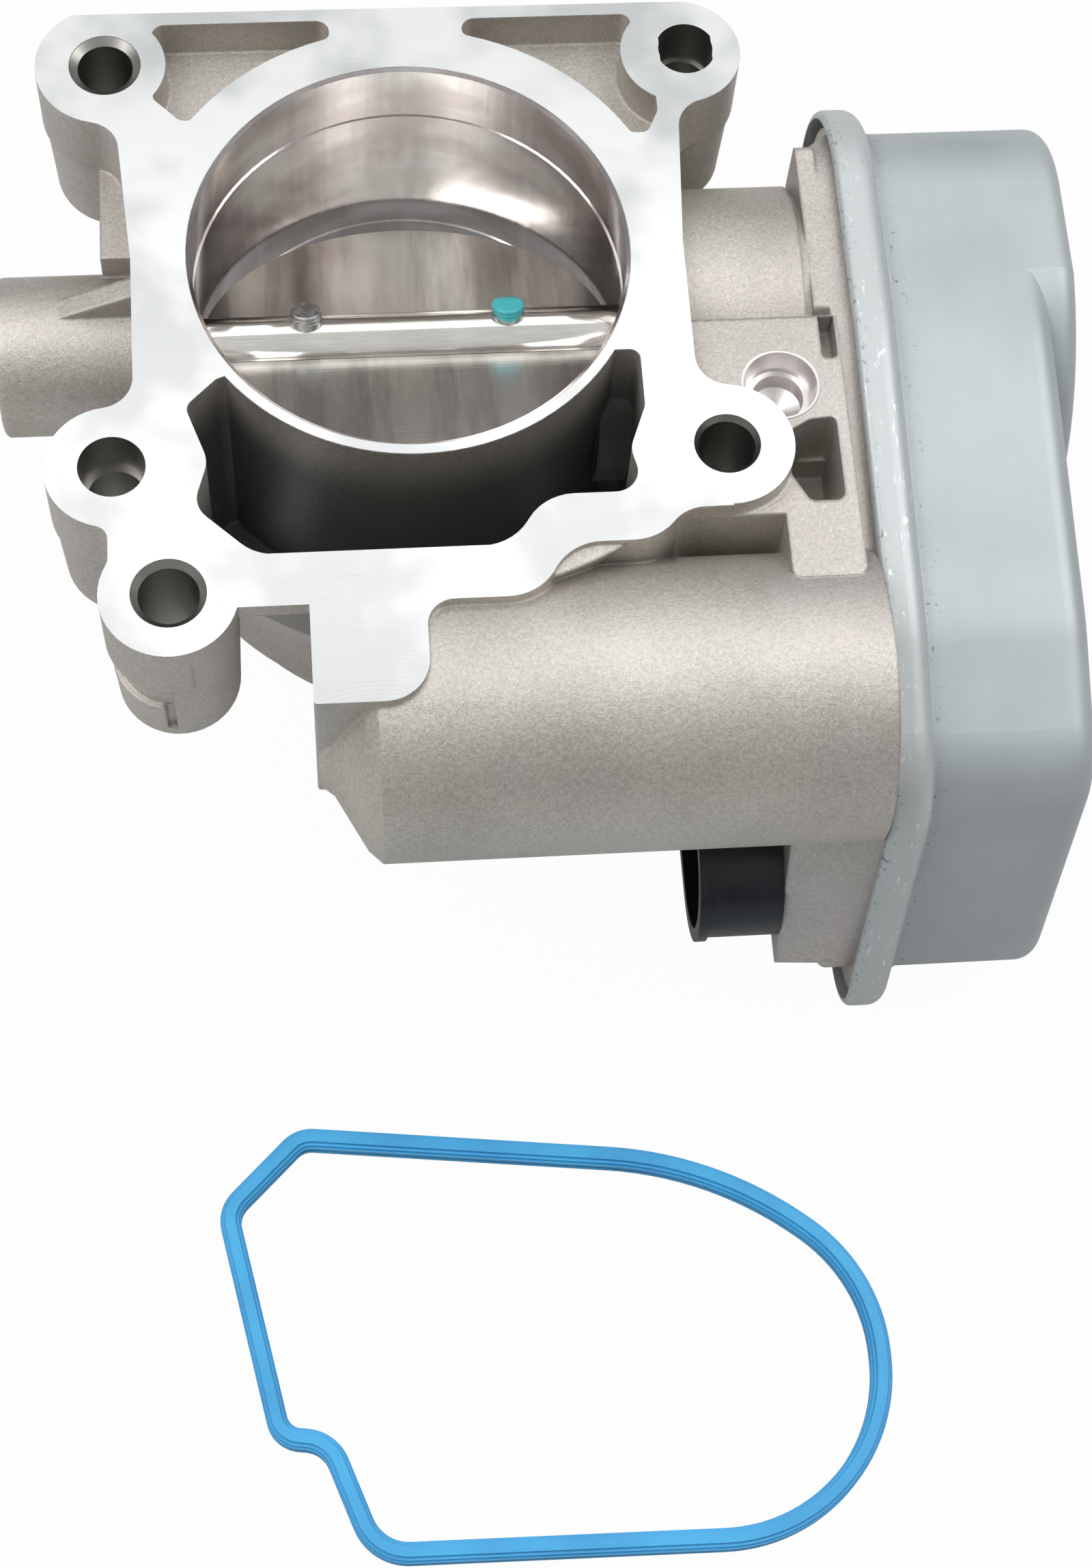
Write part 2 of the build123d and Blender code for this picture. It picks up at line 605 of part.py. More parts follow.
def face_holes():
    """Bolt holes and the extra hole through the bosses."""
    through = (-BOSS_DEPTH - 1, 1)
    cuts = []
    for x in (-BOLT_HALF_X, BOLT_HALF_X):
        for y in (-BOLT_HALF_Y, BOLT_HALF_Y):
            cuts.append(post((x, y), BOLT_HOLE_R, through))
    cuts.append(post(EXTRA_HOLE, EXTRA_HOLE_R, through))
    for centre, hole, mouth in (
        ((-BOLT_HALF_X, BOLT_HALF_Y), BOLT_HOLE_R, TOP_LEFT_MOUTH_R),
        ((BOLT_HALF_X, -BOLT_HALF_Y), BOLT_HOLE_R, SEAT_R),
        (EXTRA_HOLE, EXTRA_HOLE_R, EXTRA_MOUTH_R),
    ):
        cuts.append(Pos(*centre, -MOUTH_CHAMFER_DEPTH / 2) * Cone(hole, mouth, MOUTH_CHAMFER_DEPTH))
    slot = Pos(BOLT_HALF_X, BOLT_HALF_Y) * (Circle(SLOT_HOLE_R) & Rectangle(SLOT_HOLE_FLATS, 4 * SLOT_HOLE_R))
    cuts.append(Pos(0, 0, 1) * extrude(slot, amount=-SLOT_HOLE_DEPTH - 1))
    cuts.append(post((-BOLT_HALF_X, -BOLT_HALF_Y), SEAT_R, (-SEAT_DEPTH, 1)))
    return cuts


def shaft_cuts():
    """Bore through the housing for the shaft, its bearings, seals, plug and spring."""
    return [
        rod(SHAFT_R + 2 * RUNNING_FIT, (NEEDLE_X[1], BALL_X[0])),
        rod(NEEDLE_SEAT_R, (LEFT_BARREL_END_X - 1, SEAL_LEFT_X[1] + 0.2)),
        rod(NEEDLE_SEAT_R, (SEAL_RIGHT_X[0], BALL_X[0] + 0.1)),
        rod(BALL_SEAT_R, (BALL_X[0], BALL_X[1] + 0.5)),
        rod(SPRING_HOLLOW_R, (BALL_X[1], UPPER_FLOOR_X + 0.1)),
        rod(SPRING_WIRE_R + 0.05, (BALL_X[1] - 3, BALL_X[1] + 1), polar(SHAFT_AXIS, SPRING_R, 0)),
    ]


def motor_cuts():
    """Bore for the motor, with its rear bush seat and the two screw holes."""
    cuts = [
        rod(MOTOR_BORE_R, (MOTOR_FLOOR_X, CASE_FLOOR_X + 0.1), MOTOR_AXIS),
        rod(7.0, (MOTOR_FLOOR_X - 4.2, MOTOR_FLOOR_X + 0.1), MOTOR_AXIS),
    ]
    for angle in MOTOR_SCREW_ANGLES:
        place = polar(MOTOR_AXIS, MOTOR_SCREW_REACH, angle)
        cuts.append(rod(MOTOR_SCREW_R, (CASE_FLOOR_X - 7.5, CASE_FLOOR_X + 0.1), place))
    return cuts


def pin_cuts():
    """Blind seats of the gear pins."""
    cuts = []
    for axis in (IDLER_AXIS, TRANSFER_AXIS):
        cuts.append(rod(GEAR_PIN_R, (CASE_BACK_X + 0.8, CASE_FLOOR_X + 0.1), axis))
    return cuts


def bore_cuts():
    """Air passage with its chamfered mouth and two shallow turned bands."""
    cuts = [post((0, 0), BORE_R, (PASSAGE_END_Z - 1, 1))]
    cuts.append(cone_z((0, 0), BORE_R + BORE_CHAMFER, BORE_R, (-BORE_CHAMFER, 0)))
    for high, low in BANDS_Z:
        cuts.append(post((0, 0), BORE_R + BAND_DEPTH, (low, high)))
    return cuts


def make_housing():
    """The one-piece aluminium casting."""
    body = neck()
    body += extrude(face_outline(), amount=-RIM_DEPTH)
    thick = extrude(face_outline(), amount=-FLANGE_DEPTH)
    thick -= span_box((-34, TAB_LEFT_X), (-70, -52), (-FLANGE_DEPTH, 0))
    body += thick
    for boss in bosses():
        body += boss
    body += tab_block()
    body += step_block()
    body += motor_barrel()
    body -= extrude(left_pocket(), amount=-POCKET_DEPTH)
    body -= extrude(right_pocket(), amount=-POCKET_DEPTH)
    body -= cavity()
    body += case_body()
    for cut in case_cuts() + bore_cuts() + face_holes() + shaft_cuts() + motor_cuts() + pin_cuts():
        body -= cut
    neck_shape = stadium(CONNECTOR_WIDTH, CONNECTOR_HEIGHT, CONNECTOR_NECK_INSET)
    body -= along_x(neck_shape, (MOTOR_END_X - 4, CASE_FLOOR_X + 0.5))
    return body


# ---------------------------------------------------------------- gear cover, seal and connector

def dome_face(inset=0.0):
    """Raised disc on the cover end, cut off flush with the side of the cover."""
    disc = Pos(*DOME_AXIS) * Circle(DOME_R - inset)
    return disc & cover_outline(inset)


def make_cover():
    """Drawn cover with a rolled bead, a flat end and a raised disc over the sensor."""
    shell = along_x(cover_outline(), (LIP_X + 1, COVER_END_X))
    shell = fillet(shell.edges().group_by(Axis.X)[-1], COVER_CORNER_R)
    shell += rolled_bead()
    dome = along_x(dome_face(), (COVER_END_X - COVER_CORNER_R - 2, DOME_END_X))
    shell += fillet(dome.edges().group_by(Axis.X)[-1], DOME_CORNER_R)
    shell -= along_x(case_outline(-LIP_HOLLOW), (LIP_X - 1, RIM_END_X + SEAL_T))
    shell -= along_x(cover_outline(COVER_WALL), (LIP_X - 1, COVER_END_X - COVER_WALL))
    return shell - along_x(dome_face(COVER_WALL), (COVER_END_X - COVER_CORNER_R, DOME_END_X - COVER_WALL))


def rolled_bead():
    """Bead with a thin lip over the case rim, blended into the side of the cover."""
    bead = along_x(case_outline(-BEAD_OUT), (LIP_X, BEAD_END_X))
    bead = fillet(bead.edges().group_by(Axis.X)[-1], BEAD_ROUND)
    bead = fillet(bead.edges().group_by(Axis.X)[0], LIP_EDGE_ROUND)
    for step in range(4):
        out = BEAD_BLEND * (1 - sin(radians(22.5 * (step + 0.5))))
        reach = BEAD_BLEND * (1 - cos(radians(22.5 * (step + 1))))
        bead += along_x(cover_outline(-out), (BEAD_END_X - 0.5, BEAD_END_X + reach))
    return bead


def make_cover_seal():
    """Flat rubber seal between the end of the rim and the shoulder in the cover."""
    outer, inner = SEAL_INSET
    ring = case_outline(outer) - case_outline(inner)
    return along_x(ring, (RIM_END_X, RIM_END_X + SEAL_T))


def make_connector():
    """Oval plug shroud with a base that carries the terminals."""
    outer = along_x(stadium(CONNECTOR_WIDTH, CONNECTOR_HEIGHT, 0), (CONNECTOR_MOUTH_X, MOTOR_END_X))
    lip = stadium(CONNECTOR_WIDTH, CONNECTOR_HEIGHT, -0.6)
    flare = along_x(lip, (CONNECTOR_MOUTH_X, CONNECTOR_MOUTH_X + CONNECTOR_WALL))
    base = along_x(stadium(CONNECTOR_WIDTH, CONNECTOR_HEIGHT, CONNECTOR_NECK_INSET),
                   (MOTOR_END_X, CONNECTOR_END_X))
    socket = along_x(stadium(CONNECTOR_WIDTH, CONNECTOR_HEIGHT, CONNECTOR_WALL),
                     (CONNECTOR_MOUTH_X - 1, MOTOR_END_X - 1.5))
    body = outer + flare + base - socket
    for place in terminal_places():
        body -= terminal(place)
    return body


def terminal_places():
    """Centres of the terminals across the connector."""
    first = -(TERMINAL_COUNT - 1) / 2 * TERMINAL_PITCH
    return [CONNECTOR_Y + first + index * TERMINAL_PITCH for index in range(TERMINAL_COUNT)]


def terminal(y):
    """Flat blade through the connector base."""
    x_span = (MOTOR_END_X - 9, CONNECTOR_END_X + 2)
    return span_box(x_span, (y - 0.8, y + 0.8), (CONNECTOR_Z - 0.4, CONNECTOR_Z + 0.4))


def make_terminals():
    """All the blades."""
    return Compound(children=[terminal(y) for y in terminal_places()])


def make_sensor_board():
    """Circuit board inside the raised disc, with the sensing chip towards the shaft."""
    back = DOME_END_X - COVER_WALL
    board = span_box((back - 1.6, back), (-10, 16), (SHAFT_Z - 9.5, SHAFT_Z + 13.0))
    chip = span_box((back - 3.8, back - 1.6), (-4, 4), (SHAFT_Z - 4, SHAFT_Z + 4))
    return board + chip


# ---------------------------------------------------------------- throttle shaft line

def tilt(solid):
    """Turn about the shaft from the closed-bore plane to the rest tilt of the plate."""
    return Pos(0, 0, SHAFT_Z) * (Rot(-PLATE_TILT, 0, 0) * solid)


def screw_holes(radius):
    """Holes of the plate screws, square to the untilted plate."""
    holes = Pos(-SCREW_X, 0, 0) * Cylinder(radius, 4 * SHAFT_R)
    return holes + Pos(SCREW_X, 0, 0) * Cylinder(radius, 4 * SHAFT_R)


def make_shaft():
    """Shaft with a slot for the plate and a flat under each screw head."""
    length = SHAFT_RIGHT_X - SHAFT_LEFT_X
    middle = (SHAFT_RIGHT_X + SHAFT_LEFT_X) / 2
    shaft = Pos(middle, 0, 0) * (Rot(0, 90, 0) * Cylinder(SHAFT_R, length))
    shaft = chamfer(shaft.edges().group_by(Axis.X)[0] + shaft.edges().group_by(Axis.X)[-1], 0.5)
    gap = PLATE_T + 2 * SLOT_CLEARANCE
    shaft -= Box(2 * (PLATE_R + SLOT_CLEARANCE), 4 * SHAFT_R, gap)
    shaft -= screw_holes(SCREW_R)
    for x in (-SCREW_X, SCREW_X):
        shaft -= Pos(x, 0, -SCREW_FLAT - SHAFT_R) * Box(2 * SCREW_HEAD_R + 1, 4 * SHAFT_R, 2 * SHAFT_R)
    return tilt(shaft)


def make_plate():
    """Round plate that shuts the bore."""
    plate = Cylinder(PLATE_R, PLATE_T)
    plate = chamfer(plate.edges(), 0.25)
    return tilt(plate - screw_holes(SCREW_R))


def make_plate_screws():
    """Two screws through the shaft and the plate, heads on the far side."""
    screws = []
    for x in (-SCREW_X, SCREW_X):
        top = SHAFT_R + SCREW_TIP
        shank = Pos(x, 0, (top - SCREW_FLAT) / 2) * Cylinder(SCREW_R, top + SCREW_FLAT)
        shank = fillet(shank.edges().group_by(Axis.Z)[-1], 0.4)
        for index in range(THREAD_GROOVES):
            groove_z = top - THREAD_PITCH * (index + 1.2)
            shank -= Pos(x, 0, groove_z) * Torus(SCREW_R, THREAD_DEPTH)
        head = Pos(x, 0, -SCREW_FLAT - SCREW_HEAD_T / 2) * Cylinder(SCREW_HEAD_R, SCREW_HEAD_T)
        head = fillet(head.edges().group_by(Axis.Z)[0], 0.8)
        head -= Pos(x, 0, -SCREW_FLAT - SCREW_HEAD_T) * Box(5, 0.9, 1.6)
        head -= Pos(x, 0, -SCREW_FLAT - SCREW_HEAD_T) * Box(0.9, 5, 1.6)
        screws.append(tilt(shank + head))
    return Compound(children=screws)


def make_needle_cup():
    """Drawn cup of the left bearing."""
    inner = NEEDLE_SEAT_R - NEEDLE_CUP_T
    ring = tube(NEEDLE_SEAT_R, inner, NEEDLE_X)
    for low, high in ((NEEDLE_X[0], NEEDLE_X[0] + 0.8), (NEEDLE_X[1] - 0.8, NEEDLE_X[1])):
        ring += tube(NEEDLE_SEAT_R, inner - 1.0, (low, high))
    return ring


def needle_radius():
    """Needles fill the space between the shaft and the cup."""
    return (NEEDLE_SEAT_R - NEEDLE_CUP_T - SHAFT_R - 2 * RUNNING_FIT) / 2


def make_needles():
    """Rollers of the left bearing."""
    radius = needle_radius()
    ring_r = SHAFT_R + RUNNING_FIT + radius
    needles = []
    for index in range(NEEDLE_COUNT):
        axis = polar(SHAFT_AXIS, ring_r, index * 360 / NEEDLE_COUNT)
        needles.append(rod(radius, (NEEDLE_X[0] + 1.0, NEEDLE_X[1] - 1.0), axis))
    return Compound(children=needles)


def make_shaft_seals():
    """Lip seals on both sides of the bore."""
    seals = []
    for x_span in (SEAL_LEFT_X, SEAL_RIGHT_X):
        seals.append(tube(NEEDLE_SEAT_R, SHAFT_R + RUNNING_FIT, x_span))
    return Compound(children=seals)


def make_plug():
    """Pressed cup that closes the left barrel."""
    cup = rod(NEEDLE_SEAT_R, PLUG_X)
    cup -= rod(NEEDLE_SEAT_R - PLUG_T, (PLUG_X[0] - 1, PLUG_X[1] - PLUG_T))
    return cup


def race_groove():
    """Track of the balls, slightly wider than the balls."""
    middle = (BALL_X[0] + BALL_X[1]) / 2
    return Pos(middle, 0, SHAFT_Z) * (Rot(0, 90, 0) * Torus(BALL_PITCH_R, BALL_R + RUNNING_FIT))


def make_outer_race():
    """Outer ring of the right bearing."""
    return tube(BALL_SEAT_R, BALL_PITCH_R + RACE_GAP, BALL_X) - race_groove()


def make_inner_race():
    """Inner ring of the right bearing."""
    return tube(BALL_PITCH_R - RACE_GAP, SHAFT_R, BALL_X) - race_groove()


def make_balls():
    """Balls of the right bearing."""
    middle = (BALL_X[0] + BALL_X[1]) / 2
    balls = []
    for index in range(BALL_COUNT):
        y, z = polar(SHAFT_AXIS, BALL_PITCH_R, index * 360 / BALL_COUNT)
        balls.append(Pos(middle, y, z) * Sphere(BALL_R))
    return Compound(children=balls)


def make_return_spring():
    """Torsion spring in the right barrel, with one leg in the barrel floor."""
    start = Plane(origin=(SPRING_START_X, 0, SHAFT_Z), x_dir=(0, 1, 0), z_dir=(1, 0, 0))
    path = start * Helix(SPRING_PITCH, SPRING_PITCH * SPRING_TURNS, SPRING_R)
    section = Plane(origin=path @ 0, z_dir=path % 0) * Circle(SPRING_WIRE_R)
    coil = sweep(section, path=path, is_frenet=True)
    leg_span = (BALL_X[1] - SPRING_LEG_DEPTH, SPRING_START_X + 0.3 * SPRING_WIRE_R)
    return coil + rod(0.95 * SPRING_WIRE_R, leg_span, polar(SHAFT_AXIS, SPRING_R, 0))


# ---------------------------------------------------------------- gears

def pitch_radius(teeth):
    """Pitch circle radius."""
    return MODULE * teeth / 2


def involute(angle):
    """Involute function."""
    return tan(angle) - angle


def tooth_points(teeth, phase, index):
    """Outline of one tooth, from its right root to its left root."""
    radius = pitch_radius(teeth)
    base = radius * cos(PRESSURE_ANGLE)
    tip = radius + MODULE
    root = radius - 1.25 * MODULE
    half = pi / (2 * teeth) - BACKLASH / (4 * radius)
    centre = radians(phase) + 2 * pi * index / teeth
    low = max(base, root)
    flank = []
    for step in range(4):
        r = low + (tip - low) * step / 3
        pressure = 0 if r <= base else atan2(sqrt(r * r - base * base), base)
        flank.append((r, half + involute(PRESSURE_ANGLE) - involute(pressure)))
    if root < low:
        flank.insert(0, (root, flank[0][1]))
    right = [(r * cos(centre - a), r * sin(centre - a)) for r, a in flank]
    left = [(r * cos(centre + a), r * sin(centre + a)) for r, a in reversed(flank)]
    return right + left


def gear_face(teeth, phase):
    """Full gear outline centred on its own axis."""
    points = []
    for index in range(teeth):
        points += tooth_points(teeth, phase, index)
    return make_face(Polyline(*points, close=True))


def mesh_phase(direction, phase, teeth, next_teeth):
    """Phase of the next gear so that its tooth gap meets this gear's tooth."""
    ahead = (direction - phase) * teeth / 360
    return direction + 180 + (ahead - 0.5) * 360 / next_teeth


def meet(first, second, first_reach, second_reach, side):
    """Point at two given distances from two axes, on the chosen side of their line."""
    dy = second[0] - first[0]
    dz = second[1] - first[1]
    span = hypot(dy, dz)
    along = (first_reach ** 2 - second_reach ** 2 + span ** 2) / (2 * span)
    across = side * sqrt(first_reach ** 2 - along ** 2)
    return (first[0] + (along * dy - across * dz) / span, first[1] + (along * dz + across * dy) / span)


def direction_of(start, end):
    """Direction from one axis to another in degrees."""
    return atan2(end[1] - start[1], end[0] - start[0]) * 180 / pi


TRANSFER_REACH = pitch_radius(SECTOR_TEETH) + pitch_radius(TRANSFER_TEETH)
TRANSFER_Z = max(
    CASE_BOTTOM_Z + GEAR_TO_RIM + pitch_radius(TRANSFER_TEETH) + MODULE,
    SHAFT_Z - 0.83 * TRANSFER_REACH,
)
TRANSFER_DIRECTION = 180 + degrees(asin((SHAFT_Z - TRANSFER_Z) / TRANSFER_REACH))
TRANSFER_AXIS = polar(SHAFT_AXIS, TRANSFER_REACH, TRANSFER_DIRECTION)
IDLER_AXIS = meet(
    MOTOR_AXIS, TRANSFER_AXIS,
    pitch_radius(PINION_TEETH) + pitch_radius(IDLER_LARGE_TEETH),
    pitch_radius(IDLER_SMALL_TEETH) + pitch_radius(TRANSFER_TEETH), -1,
)
TO_IDLER = direction_of(TRANSFER_AXIS, IDLER_AXIS)
TO_MOTOR = direction_of(IDLER_AXIS, MOTOR_AXIS)
SECTOR_PHASE = TRANSFER_DIRECTION
TRANSFER_PHASE = mesh_phase(TRANSFER_DIRECTION, SECTOR_PHASE, SECTOR_TEETH, TRANSFER_TEETH)
IDLER_SMALL_PHASE = mesh_phase(TO_IDLER, TRANSFER_PHASE, TRANSFER_TEETH, IDLER_SMALL_TEETH)
IDLER_LARGE_PHASE = IDLER_SMALL_PHASE
PINION_PHASE = mesh_phase(TO_MOTOR, IDLER_LARGE_PHASE, IDLER_LARGE_TEETH, PINION_TEETH)


def make_sector_gear():
    """Moulded sector gear on the shaft, with a long hub inside the spring."""
    pitch = 360 / SECTOR_TEETH
    first = ceil((CLOSED_TURN - SECTOR_MARGIN) / pitch)
    last = floor((OPEN_TURN + SECTOR_MARGIN) / pitch)
    points = [(0.0, 0.0)]
    for index in range(first, last + 1):
        points += tooth_points(SECTOR_TEETH, SECTOR_PHASE, index)
    sector = Pos(*SHAFT_AXIS) * make_face(Polyline(*points, close=True))
    window = Pos(*SHAFT_AXIS) * (Circle(pitch_radius(SECTOR_TEETH) - 5.5) - Circle(SECTOR_HUB_R + 3.5))
    gear = along_x(sector, SECTOR_X)
    gear -= along_x(window, (SECTOR_X[0] + 4, SECTOR_X[1] + 1))
    gear += rod(SECTOR_HUB_R, (SECTOR_HUB_START_X, SECTOR_X[1]))
    return gear - rod(SHAFT_R, (SECTOR_HUB_START_X - 1, SECTOR_X[1] + 1))


def make_transfer_gear():
    """Plain gear between the sector and the idler."""
    face = Pos(*TRANSFER_AXIS) * gear_face(TRANSFER_TEETH, TRANSFER_PHASE)
    gear = along_x(face, SECTOR_X)
    groove_x = (SECTOR_X[1] - 1.5, SECTOR_X[1] + 1)
    gear -= tube(pitch_radius(TRANSFER_TEETH) - 3.5, 5.5, groove_x, TRANSFER_AXIS)
    gear += rod(4.5, (CASE_FLOOR_X + 0.3, SECTOR_X[0]), TRANSFER_AXIS)
    return gear - rod(GEAR_PIN_R + RUNNING_FIT, (CASE_FLOOR_X - 1, SECTOR_X[1] + 1), TRANSFER_AXIS)


def make_idler_gear():
    """Two-step gear driven by the motor pinion."""
    small = Pos(*IDLER_AXIS) * gear_face(IDLER_SMALL_TEETH, IDLER_SMALL_PHASE)
    large = Pos(*IDLER_AXIS) * gear_face(IDLER_LARGE_TEETH, IDLER_LARGE_PHASE)
    gear = along_x(small, (SECTOR_X[0] - 0.5, IDLER_LARGE_X[0]))
    gear += along_x(large, IDLER_LARGE_X)
    reach = pitch_radius(IDLER_LARGE_TEETH)
    gear -= tube(reach - 4, 7.0, (IDLER_LARGE_X[1] - 1.5, IDLER_LARGE_X[1] + 1), IDLER_AXIS)
    gear += rod(4.5, (CASE_FLOOR_X + 0.3, SECTOR_X[0]), IDLER_AXIS)
    return gear - rod(GEAR_PIN_R + RUNNING_FIT, (CASE_FLOOR_X - 1, IDLER_LARGE_X[1] + 1), IDLER_AXIS)


def make_gear_pin(axis, end_x):
    """Pin pressed in the case, with a thin retaining head past the gear."""
    pin = rod(GEAR_PIN_R, (CASE_BACK_X + 0.8, end_x + 2), axis)
    return pin + rod(GEAR_PIN_R + 1.2, (end_x + 0.3, end_x + 1.3), axis)


def make_motor_pinion():
    """Steel pinion on the motor shaft."""
    face = Pos(*MOTOR_AXIS) * gear_face(PINION_TEETH, PINION_PHASE)
    return along_x(face, PINION_X) - rod(MOTOR_SHAFT_R, (PINION_X[0] - 1, PINION_X[1] + 1), MOTOR_AXIS)


def make_shaft_nut():
    """Hexagon nut that holds the sector gear."""
    hexagon = Pos(*SHAFT_AXIS) * RegularPolygon(NUT_FLATS / sqrt(3), 6)
    nut = along_x(hexagon, NUT_X)
    return nut - rod(SHAFT_R, (NUT_X[0] - 1, NUT_X[1] + 1))


def make_sensor_rotor():
    """Plastic cap on the shaft end that carries the sensor magnets."""
    cap = rod(SHAFT_R + 3, (SHAFT_RIGHT_X - 8, SHAFT_RIGHT_X + 2))
    return cap - rod(SHAFT_R, (SHAFT_RIGHT_X - 9, SHAFT_RIGHT_X))


def make_sensor_magnets():
    """Two magnet halves around the cap."""
    ring = tube(SHAFT_R + 5.5, SHAFT_R + 3, (SHAFT_RIGHT_X - 5, SHAFT_RIGHT_X + 2))
    gap = span_box((SHAFT_RIGHT_X - 9, SHAFT_RIGHT_X + 3), (-1, 1), (SHAFT_Z - 20, SHAFT_Z + 20))
    return Compound(children=list((ring - gap).solids()))


# ---------------------------------------------------------------- motor

def make_motor_can():
    """Steel can with a closed rear end."""
    outer = MOTOR_BORE_R - MOTOR_SLEEVE
    can = rod(outer, (MOTOR_START_X, CASE_FLOOR_X), MOTOR_AXIS)
    can += rod(6.5, (MOTOR_START_X - 4.2, MOTOR_START_X), MOTOR_AXIS)
    inside = (MOTOR_START_X + MOTOR_CAN_T, CASE_FLOOR_X + 1)
    can -= rod(outer - MOTOR_CAN_T, inside, MOTOR_AXIS)
    return can - rod(4.0, (MOTOR_START_X - 3.2, inside[0] + 0.1), MOTOR_AXIS)


def make_motor_magnets():
    """Two arc magnets against the can."""
    ring = tube(MAGNET_R[1], MAGNET_R[0], (ROTOR_X[0] - 2, ROTOR_X[1] + 2), MOTOR_AXIS)
    gap = span_box((0, 60), (MOTOR_Y - 3, MOTOR_Y + 3), (MOTOR_Z - 20, MOTOR_Z + 20))
    return Compound(children=list((ring - gap).solids()))


def make_motor_shaft():
    """Shaft of the motor."""
    return rod(MOTOR_SHAFT_R, (MOTOR_START_X - 2.5, PINION_X[1] + 0.5), MOTOR_AXIS)


def make_rotor_core():
    """Laminated core with five slots."""
    core = Pos(*MOTOR_AXIS) * Circle(ROTOR_R)
    for index in range(5):
        place = Pos(*polar(MOTOR_AXIS, 7.6, index * 72 + 36))
        core -= place * Circle(2.6)
        slit = Pos(*MOTOR_AXIS) * (Rot(0, 0, index * 72 + 36) * (Pos(10, 0) * Rectangle(5, 1.4)))
        core -= slit
    core -= Pos(*MOTOR_AXIS) * Circle(MOTOR_SHAFT_R)
    return along_x(core, ROTOR_X)


def make_windings():
    """Copper coils in the slots, joined by a bundle at each end."""
    coils = tube(10.4, 5.2, (ROTOR_X[0] - 4, ROTOR_X[0]), MOTOR_AXIS)
    coils += tube(10.4, 5.2, (ROTOR_X[1], ROTOR_X[1] + 4), MOTOR_AXIS)
    coils = fillet(coils.edges().group_by(Axis.X)[0] + coils.edges().group_by(Axis.X)[-1], 1.2)
    for index in range(5):
        place = polar(MOTOR_AXIS, 7.6, index * 72 + 36)
        coils += rod(2.4, ROTOR_X, place)
    return coils


def make_commutator():
    """Copper commutator on the motor shaft."""
    drum = tube(COMMUTATOR_R, MOTOR_SHAFT_R, COMMUTATOR_X, MOTOR_AXIS)
    for index in range(5):
        groove = span_box((COMMUTATOR_X[0] - 1, COMMUTATOR_X[1] + 1), (-0.3, 0.3), (4.2, 6))
        drum -= Pos(0, MOTOR_Y, MOTOR_Z) * (Rot(index * 72, 0, 0) * groove)
    return drum


def make_motor_end_cap():
    """Plastic end cap with two brush holders."""
    inner = MOTOR_BORE_R - MOTOR_SLEEVE - MOTOR_CAN_T
    cap = rod(inner, END_CAP_X, MOTOR_AXIS) - rod(4.0, (END_CAP_X[0] - 1, END_CAP_X[1] + 1), MOTOR_AXIS)
    for side in (-1, 1):
        y_span = sorted((MOTOR_Y + side * 7.0, MOTOR_Y + side * 13.5))
        holder = span_box((49.5, END_CAP_X[0]), y_span, (MOTOR_Z - 3.2, MOTOR_Z + 3.2))
        y_slot = sorted((MOTOR_Y + side * 6.0, MOTOR_Y + side * 12.3))
        holder -= span_box((50.0, 54.1), y_slot, (MOTOR_Z - 2.05, MOTOR_Z + 2.05))
        cap += holder
    return cap


def make_brushes():
    """Carbon brushes on the commutator."""
    brushes = []
    for side in (-1, 1):
        y_span = sorted((MOTOR_Y + side * (COMMUTATOR_R + RUNNING_FIT), MOTOR_Y + side * 12.2))
        block = span_box((50.05, 54.05), y_span, (MOTOR_Z - 2, MOTOR_Z + 2))
        brushes.append(block - rod(COMMUTATOR_R + RUNNING_FIT, (49, 56), MOTOR_AXIS))
    return Compound(children=brushes)


def make_motor_bushes():
    """Sintered bushes at both ends of the motor shaft."""
    spans = ((MOTOR_START_X - 3.2, MOTOR_START_X + MOTOR_CAN_T), END_CAP_X)
    return Compound(children=[tube(4.0, MOTOR_SHAFT_R + RUNNING_FIT, span, MOTOR_AXIS) for span in spans])


def make_wave_spring():
    """Flat washer that holds the motor forward."""
    return tube(14.0, 9.0, (MOTOR_FLOOR_X, MOTOR_START_X), MOTOR_AXIS)


def make_motor_plate():
    """Steel plate that clamps the motor to the case."""
    x_span = (CASE_FLOOR_X, CASE_FLOOR_X + MOTOR_PLATE_T)
    plate = rod(MOTOR_BORE_R - 0.3, x_span, MOTOR_AXIS)
    for angle in MOTOR_SCREW_ANGLES:
        plate += rod(4.4, x_span, polar(MOTOR_AXIS, MOTOR_SCREW_REACH, angle))
    plate &= along_x(case_outline(CASE_CHAMBER_INSET + 0.3), x_span)
    plate -= rod(5.0, (CASE_FLOOR_X - 1, CASE_FLOOR_X + 4), MOTOR_AXIS)
    for angle in MOTOR_SCREW_ANGLES:
        plate -= rod(MOTOR_SCREW_R, (60, 66), polar(MOTOR_AXIS, MOTOR_SCREW_REACH, angle))
    return plate


def make_motor_screws():
    """Screws of the motor plate."""
    screws = []
    face_x = CASE_FLOOR_X + MOTOR_PLATE_T
    for angle in MOTOR_SCREW_ANGLES:
        place = polar(MOTOR_AXIS, MOTOR_SCREW_REACH, angle)
        screw = rod(MOTOR_SCREW_R, (CASE_FLOOR_X - 7, face_x), place)
        screw += rod(3.3, (face_x, face_x + 2.2), place)
        screws.append(screw - rod(1.2, (face_x + 1, face_x + 3), place))
    return Compound(children=screws)


# ---------------------------------------------------------------- loose gasket

def gasket_ring(half_width):
    """Ring on both sides of the gasket's centre line."""
    middle = rounded(GASKET_LINE)
    return offset(middle, amount=half_width) - offset(middle, amount=-half_width)


